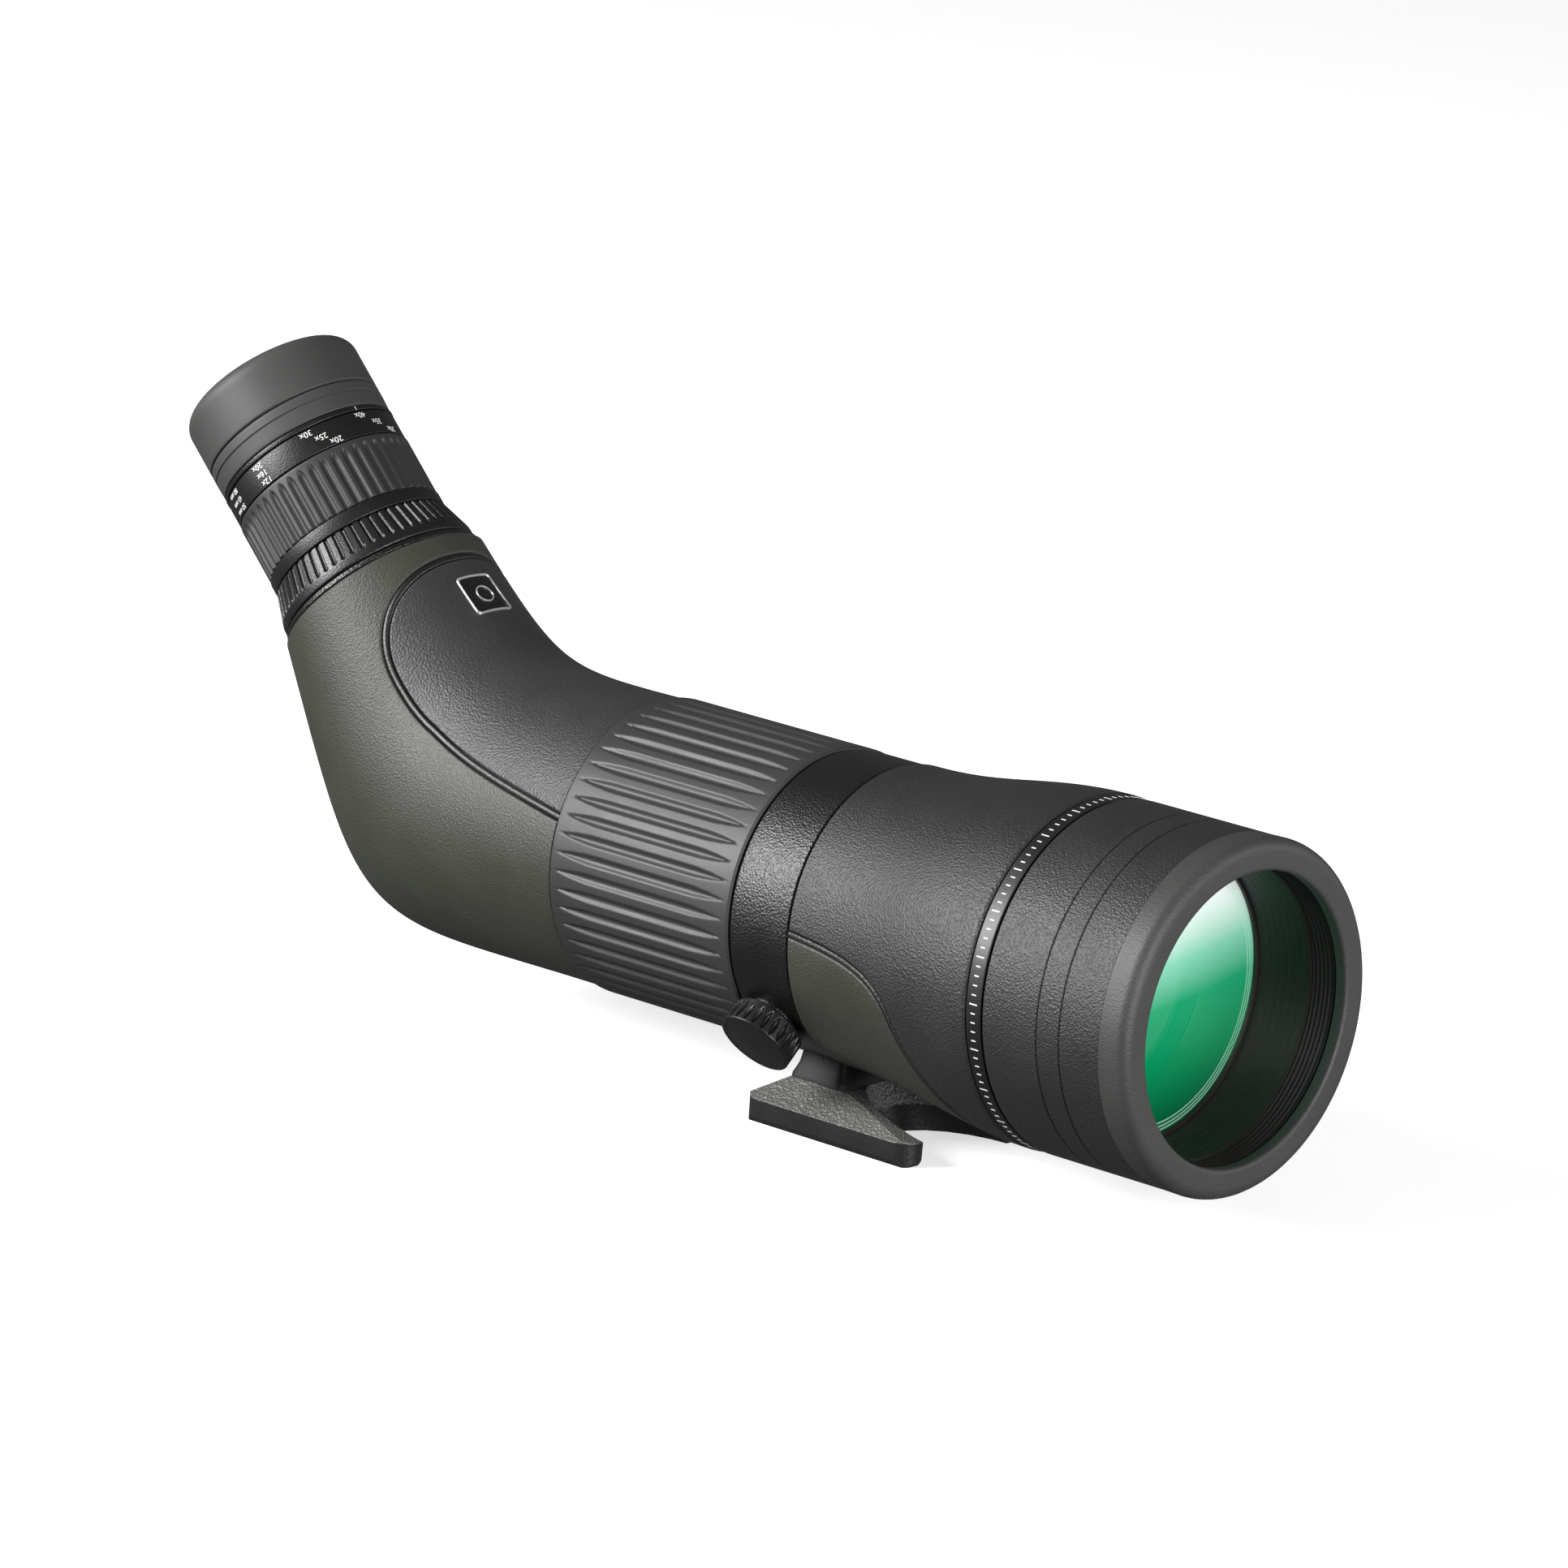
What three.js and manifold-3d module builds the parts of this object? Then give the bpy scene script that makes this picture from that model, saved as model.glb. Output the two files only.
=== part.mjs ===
// Angled spotting scope with a turning tripod collar, a zoom eyepiece and a sliding sunshade.
// Millimetres. +X points at the target, +Z is up, and the origin is the middle of the foot's bottom face.
import * as THREE from "three";
import { mergeVertices } from "three/addons/utils/BufferGeometryUtils.js";
import Module from "manifold-3d";

const wasm = await Module();
wasm.setup();

// ---- driving sizes ---------------------------------------------------------------------------

const gap = 0.3; // clearance between two pieces that touch or turn in each other
const overlap = 0.5; // how far two shapes of one piece run into each other before they are joined
const past = 1; // how far a cutting shape runs past the face it cuts
const eyepieceTilt = THREE.MathUtils.degToRad(45);
const mainSides = 24; // facets round the main axis
const eyeSides = 20; // facets round the eyepiece axis
const studSides = 16; // facets round a stud or a screw's head
const pinSides = 12; // facets round a pin or a screw's shank

// Main tube and what rides on it. Stations run along the main axis from the collar's front face.
const tube = { outer: 29.5, wall: 2, rearEngagement: 5, frontEngagement: 4 };
const collar = { width: 18.2, wall: 3.7, liner: 1.1 };
const neck = { halfWidth: 13, rearInset: 1.5, frontInset: 0.5 };
const standHeight = 15.1; // the collar's underside above the foot's bottom face
const focus = { length: 56.6, coreWall: 2.4, gripWall: 2, ribHeight: 0.7, ridges: 50 };
const focusCell = { length: 12, wall: 6, travel: 8, pinRadius: 1.5, pinDepth: 2.6, reliefDepth: 1.4 };
const focusLens = { halfEdge: 2, frontBulge: 2, rearBulge: 1.5 };

// Objective end.
const armor = 2; // rubber armour thickness
const objective = { armorLength: 59, rearStep: 5.8, frontStep: 0.2, tubeWall: 2.5, lensWall: 3 };
const baffle = { station: 23.6, thickness: 1.5, inset: 1, clearance: 0.3 };
const lowerCover = {
  frontInset: 5,
  rearEdge: 2.4,
  knee: { station: 14, height: 0.2 },
  sweep: [[34, -2.5], [33, -14], [41, -25]],
};
const flare = { rearHandle: 26, frontHandle: 22 };
const band = { width: 4.5, inset: 0.1, wall: 1.7 };
const sunshade = { length: 42, tubeWall: 1.2, slideGap: 0.4, lipStep: 0.2, lipLength: 7.8 };
const mouth = { inset: 0.1, lipThickness: 3.3, flare: 1 };
const lipEdge = { shoulder: 3, corner: 1, drop: 0.9 }; // the lip's outer edge is rolled over
const lens = { radius: 33.6, edge: 4, bulge: 3, hollow: 1, frontSeat: 15.4, spacer: 2, ringWall: 2 };
const rearLens = { edge: 3.5, hollow: 1.2, bulge: 1, retainer: 3.5 };
const seatLip = { height: 0.4, length: 1.4 }; // the step that stops the front lens
const filterThread = { length: 6.3, relief: 0.4 };
const frictionGroove = { from: 9, to: 6, depth: 1.4, ringHeight: 1.2 }; // behind the filter thread

// Rear body: a loft from the front circle to the neck circle.
const panelLine = { frontHeight: 11, dip: [21, 12.5], rise: [-4, 24], bend: [-14, 29.5], climb: [-20, 38] };
const panelSide = { inset: 20.4, height: 47.5, topShare: 0.95, topLean: 5 };
const body = { wall: 2.5, axisCrossing: 50.2, neckHeight: 58.1 };
const heel = { frontReach: 86.4, neckReach: 74.2, neckAngle: THREE.MathUtils.degToRad(63) };
const crook = { frontReach: 38.8, neckReach: 38.5, neckAngle: THREE.MathUtils.degToRad(42.4) };
const waist = { front: 4.5, rear: 3.1 }; // how far the body draws in at its waist
const badge = { side: 11, thickness: 1.2, proud: 0.5, along: 0.815 };
const prismSize = { width: 33, height: 29, exitFace: 26, exitHeight: 22, setBack: 8, roofReach: 4 };
const carrier = { plate: 1.6, flange: 3, flangeInset: 1.1, window: 18, rearReach: 4, shortBy: 3 };
const strap = { width: 9, thickness: 1, legBelowScrew: 4 };
const strapScrew = { radius: 1.2, headRadius: 2.2, headHeight: 1.2, belowEdge: 5 };

// Eyepiece: heights run along its axis from where that axis crosses the main axis.
const neckRing = { height: 1.8, wall: 1.7, inset: 0.7, spigot: 8, clearance: 0.25 };
const lockRing = { height: 9.8, bottomInset: 0.4, taper: 2.5, chamfer: 0.7, skirt: 4 };
const eyeBand = { height: 3.4, inset: 0.1 };
const zoomGrip = { height: 15.4, wall: 0.9, ribHeight: 0.6, ribs: 48 };
const scale = { height: 6.4, wall: 1.3 };
const indexRim = { height: 1.2, wall: 2.8 };
const eyecup = { baseHeight: 6.8, cupHeight: 14.5, openingInset: 7.3, wall: 1.4, lip: 3.2 };
const cupRim = { shoulder: 4, corner: 1.4, cornerInset: 1, topInset: 3.4, mouthInset: 1.5, mouthDepth: 1.2 };
const cupSleeve = { wall: 1.1, glideWall: 1, glideHeight: 5 };
const barrel = { outer: 19.2, wall: 1.6, step: 1.3, upperWall: 1.5, tail: 10.1, topGap: 3.4 };
const barrelFlange = { reach: 1.1, height: 2.4 }; // the lock ring turns on it
const zoom = { turn: 150, slack: 8, rearTravel: 5, endClearance: 2, pinRadius: 1.2 };
const zoomWall = { core: 1.1, cam: 1.3 };
const zoomCell = { height: 4.5, wall: 2.5, lensInset: 1.2, bulge: 1 };
const fieldStop = { wall: 7.1, above: 1.5, thickness: 1.5 };
const eyeLens = {
  belowTop: 2, edge: 4.7, topBulge: 0.6, bottomBulge: 1.4, retainerHeight: 1.5, retainerWall: 2.8,
};

// Foot, with its clamp knob on the collar.
const foot = { length: 51, width: 41, sideHeight: 5.7, bevel: 1.4, bevelInset: 1, cornerRadius: 5 };
const flank = { height: 5, topHalfWidth: 13, rearInset: 8, frontInset: 24.5 };
const scoop = { alongX: 20, alongY: 15, centre: 26, drill: 30, lean: THREE.MathUtils.degToRad(28) };
const insert = { bore: 3, wall: 1.7, depth: 8.5 };
const footScrew = { radius: 2, headRadius: 3.5, headHeight: 3.8, spread: 9, bite: 1.4 };
const hexSocket = { radius: 1.7, depth: 2 };
const knob = { radius: 9, root: 8.5, ribs: 24, height: 7.2, faceBevel: 1, faceSides: 32, boss: 0.6 };
const knobStation = -10.5;
const knobBelow = THREE.MathUtils.degToRad(40); // the knob leaves the collar this far under the horizontal
const knobScrew = { radius: 2.9, stroke: 1, bossRadius: 6.5, seat: 1.4 };
const clampPad = { thickness: 1.2, radius: 3.9, lift: 0.1 };

// ---- stations that follow from them ----------------------------------------------------------

const focusFront = -collar.width;
const bodyFront = focusFront - focus.length;
const tubeBore = tube.outer - tube.wall;
const linerOuter = tube.outer + gap + collar.liner;
const collarBore = linerOuter + gap;
const collarOuter = collarBore + collar.wall;
const axisHeight = collarOuter + standHeight; // main optical axis above the foot's bottom face
const coreBore = tube.outer + gap;
const coreOuter = coreBore + focus.coreWall;
const gripRoot = coreOuter + gap + focus.gripWall;
const gripCrest = gripRoot + focus.ribHeight;
const bandRear = objective.armorLength;
const shadeRear = bandRear + band.width + gap;
const mouthFace = shadeRear + sunshade.length - gap;
const lensBore = lens.radius + gap;
const coreTubeOuter = lensBore + objective.lensWall;
const shadeTubeBore = coreTubeOuter + sunshade.slideGap;
const shadeTubeOuter = shadeTubeBore + sunshade.tubeWall;
const shadeRadius = shadeTubeOuter + gap + armor;
const lipRadius = shadeRadius + sunshade.lipStep;
const mouthRadius = lens.radius - mouth.inset;
const bandRadius = shadeRadius - band.inset;
const objectiveRear = tube.outer + objective.rearStep;
const objectiveFront = shadeRadius + objective.frontStep;
const frontSeat = shadeRear + lens.frontSeat;
const threadFront = mouthFace - mouth.lipThickness - 2 * gap;
const threadRear = threadFront - filterThread.length;
const footCentre = 1; // the foot's middle, ahead of the collar's front face
const neckRear = -collar.width + neck.rearInset;
const neckFront = -neck.frontInset;

const barrelSleeve = barrel.outer + gap; // bore of everything that rides on the eyepiece barrel
const neckBore = barrelSleeve + neckRing.wall + gap;
const bodyNeckRadius = neckBore + body.wall + gap + armor;
const bodyFrontRadius = tube.outer + gap + body.wall + gap + armor;
const neckRingRadius = bodyNeckRadius - neckRing.inset;

// ---- materials -------------------------------------------------------------------------------

const finish = (color, roughness, metalness = 0) =>
  new THREE.MeshStandardMaterial({ color, roughness, metalness });
const greenArmor = finish(0x575b50, 0.75);
const charcoalArmor = finish(0x343635, 0.8);
const grainedPanel = finish(0x2b2c2d, 0.7);
const rubber = finish(0x4a4b4b, 0.85);
const blackPlastic = finish(0x17181a, 0.5);
const blackMetal = finish(0x1b1c1d, 0.55, 0.4);
const innerBlack = finish(0x0c0c0d, 0.9);
const bareMetal = finish(0x8d8f92, 0.35, 0.9);
const steel = finish(0x3b3d40, 0.35, 0.9);
const brass = finish(0xb08d4a, 0.35, 0.9);
const badgeMetal = finish(0xa8abad, 0.3, 0.8);
const glass = finish(0xcfe0d8, 0.05);

// ---- solids ----------------------------------------------------------------------------------

// A closed three.js geometry as a manifold solid, facing outwards.
function solidOf(geometry) {
  const bare = geometry.index ? geometry.toNonIndexed() : geometry.clone();
  bare.deleteAttribute("normal");
  bare.deleteAttribute("uv");
  const merged = mergeVertices(bare, 1e-3);
  const triVerts = new Uint32Array(merged.index.array);
  const vertProperties = merged.attributes.position.array;
  const solid = new wasm.Manifold(new wasm.Mesh({ numProp: 3, vertProperties, triVerts }));
  if (solid.volume() >= 0) return solid;
  triVerts.reverse();
  return new wasm.Manifold(new wasm.Mesh({ numProp: 3, vertProperties, triVerts }));
}

function geometryOf(solid) {
  const { numProp, numVert, vertProperties, triVerts } = solid.getMesh();
  const positions = new Float32Array(numVert * 3);
  for (let i = 0; i < numVert; i++) {
    positions.set(vertProperties.subarray(i * numProp, i * numProp + 3), i * 3);
  }
  const indexed = new THREE.BufferGeometry()
    .setAttribute("position", new THREE.BufferAttribute(positions, 3))
    .setIndex(new THREE.BufferAttribute(triVerts, 1));
  const flat = indexed.toNonIndexed();
  flat.computeVertexNormals();
  return flat;
}

const scope = new THREE.Group();

// Adds one piece to a group. Its shape is a geometry or a manifold solid.
function piece(parent, name, material, shape) {
  const geometry = shape.isBufferGeometry ? geometryOf(solidOf(shape)) : geometryOf(shape);
  const mesh = new THREE.Mesh(geometry, material);
  mesh.name = name;
  parent.add(mesh);
  return mesh;
}

// A profile of [station, radius] corners turned about the Z axis. It closes on itself.
function turned(corners, sides = mainSides) {
  const closed = [...corners, corners[0]].map(([station, radius]) => new THREE.Vector2(radius, station));
  return new THREE.LatheGeometry(closed, sides).rotateX(Math.PI / 2);
}

// A plain tube between two radii and two stations.
function ring(inner, outer, from, to, sides = mainSides) {
  const corners = [[from, inner], [from, outer], [to, outer], [to, inner]];
  return turned(corners, sides);
}

// A full-bodied bar about the Z axis.
function bar(radius, from, to, sides = mainSides) {
  const length = to - from;
  return new THREE.CylinderGeometry(radius, radius, length, sides)
    .rotateX(Math.PI / 2)
    .translate(0, 0, from + length / 2);
}

function block(width, depth, height, x, y, z) {
  return new THREE.BoxGeometry(width, depth, height).translate(x, y, z);
}

// A glass element: convex by bulge on each face, centred on the Z axis.
function lensBody(radius, from, to, frontBulge, rearBulge, sides = mainSides) {
  const steps = 3;
  const front = [];
  const rear = [];
  for (let i = 0; i <= steps; i++) {
    const share = i / steps;
    front.push(new THREE.Vector2(radius * share, to + frontBulge * (1 - share * share)));
    rear.push(new THREE.Vector2(radius * (1 - share), from - rearBulge * (1 - (1 - share) ** 2)));
  }
  return new THREE.LatheGeometry([...front, ...rear], sides).rotateX(Math.PI / 2);
}

// A sleeve whose outside carries ribs along the Z axis.
function ribbedSleeve(inner, root, crest, ribs, from, to, innerSides) {
  const outline = new THREE.Shape();
  for (let i = 0; i < 2 * ribs; i++) {
    const angle = (Math.PI * i) / ribs;
    const radius = i % 2 ? root : crest;
    const x = radius * Math.cos(angle);
    const y = radius * Math.sin(angle);
    if (i) outline.lineTo(x, y);
    else outline.moveTo(x, y);
  }
  outline.closePath();
  const extruded = new THREE.ExtrudeGeometry(outline, { depth: to - from, bevelEnabled: false });
  const sleeve = solidOf(extruded.translate(0, 0, from));
  return sleeve.subtract(solidOf(bar(inner, from - past, to + past, innerSides)));
}

// A wall of part of a circle, from one angle to another, about the Z axis.
function sector(inner, outer, startAngle, endAngle, from, to) {
  const outline = new THREE.Shape();
  outline.absarc(0, 0, outer, startAngle, endAngle, false);
  outline.absarc(0, 0, inner, endAngle, startAngle, true);
  outline.closePath();
  const settings = { depth: to - from, bevelEnabled: false, curveSegments: 12 };
  return new THREE.ExtrudeGeometry(outline, settings).translate(0, 0, from);
}

// A side-view outline, in X and Z, pulled through the whole width of the body along Y.
function sideCutter(outline, halfWidth = 60) {
  return new THREE.ExtrudeGeometry(outline, { depth: 2 * halfWidth, bevelEnabled: false, curveSegments: 8 })
    .rotateX(Math.PI / 2)
    .translate(0, halfWidth, 0);
}

// A block whose bottom and top rectangles differ.
function taperedBlock(bottom, top, z0, z1) {
  const corners = ({ x0, x1, y }, z) => [[x0, -y, z], [x1, -y, z], [x1, y, z], [x0, y, z]];
  const points = [...corners(bottom, z0), ...corners(top, z1)];
  const faces = [[0, 3, 2], [0, 2, 1], [4, 5, 6], [4, 6, 7]];
  for (let i = 0; i < 4; i++) {
    const next = (i + 1) % 4;
    faces.push([i, next, next + 4], [i, next + 4, i + 4]);
  }
  return new THREE.BufferGeometry()
    .setAttribute("position", new THREE.Float32BufferAttribute(points.flat(), 3))
    .setIndex(faces.flat());
}

// ---- places ----------------------------------------------------------------------------------

// The optical frame: X and Z as on the whole scope, from the collar's front face on the main axis.
const optical = new THREE.Group();
optical.position.set(-footCentre, 0, axisHeight);
scope.add(optical);

// Turned pieces are made about their own Z axis: this group lays that axis along +X.
const mainAxis = new THREE.Group();
mainAxis.rotation.y = Math.PI / 2;
optical.add(mainAxis);

const crossing = bodyFront - body.axisCrossing;
const eyeAxis = new THREE.Group();
eyeAxis.position.set(crossing, 0, 0);
eyeAxis.rotation.y = -eyepieceTilt;
optical.add(eyeAxis);

// ---- tripod mount: collar, foot and clamp ----------------------------------------------------

// Takes a shape made about Z to the clamp knob's axis, which leaves the collar low on the -Y side.
function toKnobAxis(geometry) {
  return geometry
    .rotateX(Math.PI / 2 + knobBelow)
    .translate(knobStation, 0, 0);
}

const knobStud = (radius, from, to, sides = studSides) => toKnobAxis(bar(radius, from, to, sides));
const padSeat = collarBore + clampPad.thickness + knobScrew.stroke + gap;
const bossTop = collarOuter + knob.boss;
const knobBase = bossTop + gap;
const screwEnd = knobBase + knobScrew.seat;
const plateTop = -axisHeight + foot.sideHeight;
const footTop = plateTop + flank.height;
const alongMain = (geometry) => geometry.rotateY(Math.PI / 2);
const footScrewStation = (neckRear + neckFront) / 2;
const screwTip = -collarOuter + footScrew.bite;
const counterbore = footScrew.headHeight + 2 * gap;

const neckTop = -collarOuter / 2;
const neckBottom = footTop + gap;
const neckLength = neckFront - neckRear;
const neckMiddle = (neckTop + neckBottom) / 2;
const neckHeight = neckTop - neckBottom;
const neckBlock = block(
  neckLength, 2 * neck.halfWidth, neckHeight, footScrewStation, 0, neckMiddle,
);
let collarBody = solidOf(alongMain(bar(collarOuter, -collar.width + gap, -gap)))
  .add(solidOf(neckBlock))
  .add(solidOf(knobStud(knobScrew.bossRadius, collarBore, bossTop)))
  .subtract(solidOf(alongMain(bar(collarBore, -collar.width - past, past))))
  .subtract(solidOf(knobStud(knobScrew.radius + gap, 0, bossTop + past)))
  .subtract(solidOf(knobStud(clampPad.radius + gap, 0, padSeat)));
for (const side of [-1, 1]) {
  const tapped = bar(footScrew.radius + gap, -axisHeight, screwTip + gap, pinSides);
  tapped.translate(footScrewStation, side * footScrew.spread, 0);
  collarBody = collarBody.subtract(solidOf(tapped));
}
piece(optical, "tripod_collar", blackMetal, collarBody);
piece(mainAxis, "collar_liner", blackPlastic,
  ring(tube.outer + gap, linerOuter, -collar.width + 2 * gap, -2 * gap));

piece(optical, "clamp_pad", blackPlastic, toKnobAxis(
  bar(clampPad.radius, collarBore + clampPad.lift, collarBore + clampPad.thickness, studSides),
));
piece(optical, "knob_screw", steel,
  knobStud(knobScrew.radius, collarBore + clampPad.thickness + gap, screwEnd));
const knobShoulder = knobBase + knob.height - knob.faceBevel;
const screwBore = knobScrew.radius + gap;
const knobFace = knob.root - knob.faceBevel;
const knobBevel = new THREE.CylinderGeometry(knobFace, knob.root, knob.faceBevel, knob.faceSides)
  .rotateX(Math.PI / 2)
  .translate(0, 0, knobShoulder + knob.faceBevel / 2);
const knobBody = ribbedSleeve(screwBore, knob.root, knob.radius, knob.ribs, knobBase, knobShoulder, studSides)
  .add(solidOf(bar(knobFace, screwEnd + gap, knobShoulder + overlap, knob.faceSides)))
  .add(solidOf(knobBevel));
piece(optical, "collar_knob", rubber, toKnobAxis(geometryOf(knobBody)));

const plate = { x0: footCentre - foot.length / 2, x1: footCentre + foot.length / 2, y: foot.width / 2 };
const plateBase = {
  x0: plate.x0 + foot.bevelInset,
  x1: plate.x1 - foot.bevelInset,
  y: plate.y - foot.bevelInset,
};
const flankTop = {
  x0: plate.x0 + flank.rearInset,
  x1: plate.x1 - flank.frontInset,
  y: flank.topHalfWidth,
};
const bevelTop = -axisHeight + foot.bevel;

function roundedPlan() {
  const { x0, x1, y } = plate;
  const r = foot.cornerRadius;
  const outline = new THREE.Shape();
  outline.absarc(x1 - r, y - r, r, 0, Math.PI / 2, false);
  outline.absarc(x0 + r, y - r, r, Math.PI / 2, Math.PI, false);
  outline.absarc(x0 + r, -y + r, r, Math.PI, 1.5 * Math.PI, false);
  outline.absarc(x1 - r, -y + r, r, 1.5 * Math.PI, 2 * Math.PI, false);
  outline.closePath();
  const settings = { depth: footTop + axisHeight + 2 * past, bevelEnabled: false, curveSegments: 4 };
  return new THREE.ExtrudeGeometry(outline, settings).translate(0, 0, -axisHeight - past);
}

// The front of the foot is scooped out by a leaning oval drill.
const scoopDrill = bar(1, -scoop.drill, scoop.drill)
  .scale(scoop.alongX, scoop.alongY, 1)
  .rotateY(-scoop.lean)
  .translate(footCentre + scoop.centre, 0, -axisHeight);

let footBody = solidOf(taperedBlock(plateBase, plate, -axisHeight, bevelTop))
  .add(solidOf(taperedBlock(plate, plate, bevelTop, plateTop)))
  .add(solidOf(taperedBlock(plate, flankTop, plateTop, footTop)))
  .intersect(solidOf(roundedPlan()))
  .subtract(solidOf(scoopDrill));
const insertOuter = insert.bore + insert.wall;
const insertPocket = bar(
  insertOuter + gap, -axisHeight - past, -axisHeight + insert.depth + 2 * gap, eyeSides,
);
footBody = footBody.subtract(solidOf(insertPocket.translate(footScrewStation, 0, 0)));
for (const side of [-1, 1]) {
  const y = side * footScrew.spread;
  const shank = bar(footScrew.radius + gap, -axisHeight - past, footTop + past, pinSides);
  const head = bar(
    footScrew.headRadius + gap, -axisHeight - past, -axisHeight + counterbore, studSides,
  );
  footBody = footBody
    .subtract(solidOf(shank.translate(footScrewStation, y, 0)))
    .subtract(solidOf(head.translate(footScrewStation, y, 0)));
}
piece(optical, "tripod_foot", blackMetal, footBody);
const insertRing = ring(
  insert.bore, insertOuter, -axisHeight + gap, -axisHeight + insert.depth, eyeSides,
);
piece(optical, "thread_insert", brass, insertRing.translate(footScrewStation, 0, 0));

for (const [name, side] of [["foot_screw_left", 1], ["foot_screw_right", -1]]) {
  const headFrom = -axisHeight + gap;
  const headTo = headFrom + footScrew.headHeight;
  const screw = solidOf(bar(footScrew.headRadius, headFrom, headTo, studSides))
    .add(solidOf(bar(footScrew.radius, headTo - overlap, screwTip, pinSides)))
    .subtract(solidOf(bar(hexSocket.radius, headFrom - past, headFrom + hexSocket.depth, 6)));
  const placed = geometryOf(screw).translate(footScrewStation, side * footScrew.spread, 0);
  piece(optical, name, steel, placed);
}

// ---- main tube and focus drive ---------------------------------------------------------------

const cellMiddle = bodyFront + focus.length / 2;
const cellRear = cellMiddle - focusCell.length / 2;
const cellFront = cellMiddle + focusCell.length / 2;
const cellOuter = tubeBore - gap;
const relief = coreBore + focusCell.reliefDepth;
const pinTop = relief - gap;
const reach = focusCell.travel + focusCell.pinRadius + gap;

const slot = block(2 * reach, 2 * (focusCell.pinRadius + gap), 2 * tube.outer, 0, 0, tube.outer)
  .translate(cellMiddle, 0, 0);
const tubeRear = bodyFront - tube.rearEngagement;
const tubeBody = solidOf(alongMain(ring(tubeBore, tube.outer, tubeRear, tube.frontEngagement)))
  .subtract(solidOf(slot));
piece(optical, "main_tube", bareMetal, tubeBody);

piece(mainAxis, "focus_ring_core", blackPlastic, turned([
  [bodyFront + gap, coreBore], [bodyFront + gap, coreOuter], [focusFront - gap, coreOuter],
  [focusFront - gap, coreBore], [cellMiddle + reach, coreBore], [cellMiddle + reach, relief],
  [cellMiddle - reach, relief], [cellMiddle - reach, coreBore],
]));
piece(mainAxis, "focus_grip", rubber, ribbedSleeve(
  coreOuter + gap, gripRoot, gripCrest, focus.ridges,
  bodyFront + gap, focusFront - gap, mainSides,
));

const lensHold = cellOuter - focusCell.wall;
const pinHole = bar(
  focusCell.pinRadius + gap, cellOuter - focusCell.pinDepth - gap, tube.outer, pinSides,
)
  .translate(cellMiddle, 0, 0);
const cellBody = solidOf(alongMain(ring(lensHold, cellOuter, cellRear, cellFront)))
  .subtract(solidOf(pinHole));
piece(optical, "focus_cell", innerBlack, cellBody);
piece(mainAxis, "focus_lens", glass, lensBody(
  lensHold - gap, cellMiddle - focusLens.halfEdge, cellMiddle + focusLens.halfEdge,
  focusLens.frontBulge, focusLens.rearBulge,
));
const pin = bar(focusCell.pinRadius, cellOuter - focusCell.pinDepth, pinTop, pinSides);
piece(optical, "focus_pin", steel, pin.translate(cellMiddle, 0, 0));

// ---- objective end ---------------------------------------------------------------------------

// Radius of the objective armour at a station, on one S-shaped curve from the collar to the band.
const flareCurve = new THREE.CubicBezierCurve(
  new THREE.Vector2(0, objectiveRear),
  new THREE.Vector2(flare.rearHandle, objectiveRear),
  new THREE.Vector2(objective.armorLength - flare.frontHandle, objectiveFront),
  new THREE.Vector2(objective.armorLength, objectiveFront),
);
function flareProfile(inset, from, to, steps = 5) {
  const wide = flareCurve.getPoints(48);
  const radiusAt = (station) => {
    const next = wide.findIndex((p) => p.x >= station);
    const b = wide[Math.max(next, 1)];
    const a = wide[Math.max(next, 1) - 1];
    return THREE.MathUtils.mapLinear(station, a.x, b.x, a.y, b.y) - inset;
  };
  const corners = [];
  for (let i = 0; i <= steps; i++) {
    const station = from + ((to - from) * i) / steps;
    corners.push([station, radiusAt(station)]);
  }
  return corners;
}

const armorRear = gap;
const armorFront = bandRear - gap;
const tubeShellInset = armor + gap;
const shoulder = lens.radius - seatLip.height;
const lensStackRear = frontSeat - lens.edge - lens.spacer - rearLens.edge - rearLens.retainer;
const grooveRear = threadRear - frictionGroove.from;
const grooveFront = threadRear - frictionGroove.to;
const grooveFloor = coreTubeOuter - frictionGroove.depth;
const tubeStop = tube.frontEngagement + gap; // the main tube's front end stops here
const innerFlare = flareProfile(
  tubeShellInset + objective.tubeWall, tubeStop + 2 * tubeShellInset, lensStackRear - lens.ringWall, 3,
);
const objectiveTube = turned([
  [2 * gap, tube.outer + gap],
  ...flareProfile(tubeShellInset, 2 * gap, bandRear),
  [shadeRear - gap, objectiveFront - tubeShellInset],
  [shadeRear - gap, coreTubeOuter],
  [grooveRear, coreTubeOuter], [grooveRear, grooveFloor],
  [grooveFront, grooveFloor], [grooveFront, coreTubeOuter],
  [threadRear - gap, coreTubeOuter], [threadRear - gap, lensBore],
  [frontSeat + seatLip.length, lensBore], [frontSeat + seatLip.length, shoulder],
  [frontSeat, shoulder], [frontSeat, lensBore],
  [lensStackRear, lensBore],
  ...innerFlare.toReversed(),
  [tubeStop + tubeShellInset, tubeBore], [tubeStop, tubeBore], [tubeStop, tube.outer + gap],
]);
piece(mainAxis, "objective_tube", blackMetal, objectiveTube);

const armorOuterWall = flareProfile(0, armorRear, armorFront);
const armorInnerWall = flareProfile(armor, armorRear, armorFront).reverse();
const sleeve = solidOf(alongMain(turned([...armorOuterWall, ...armorInnerWall])));

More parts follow.
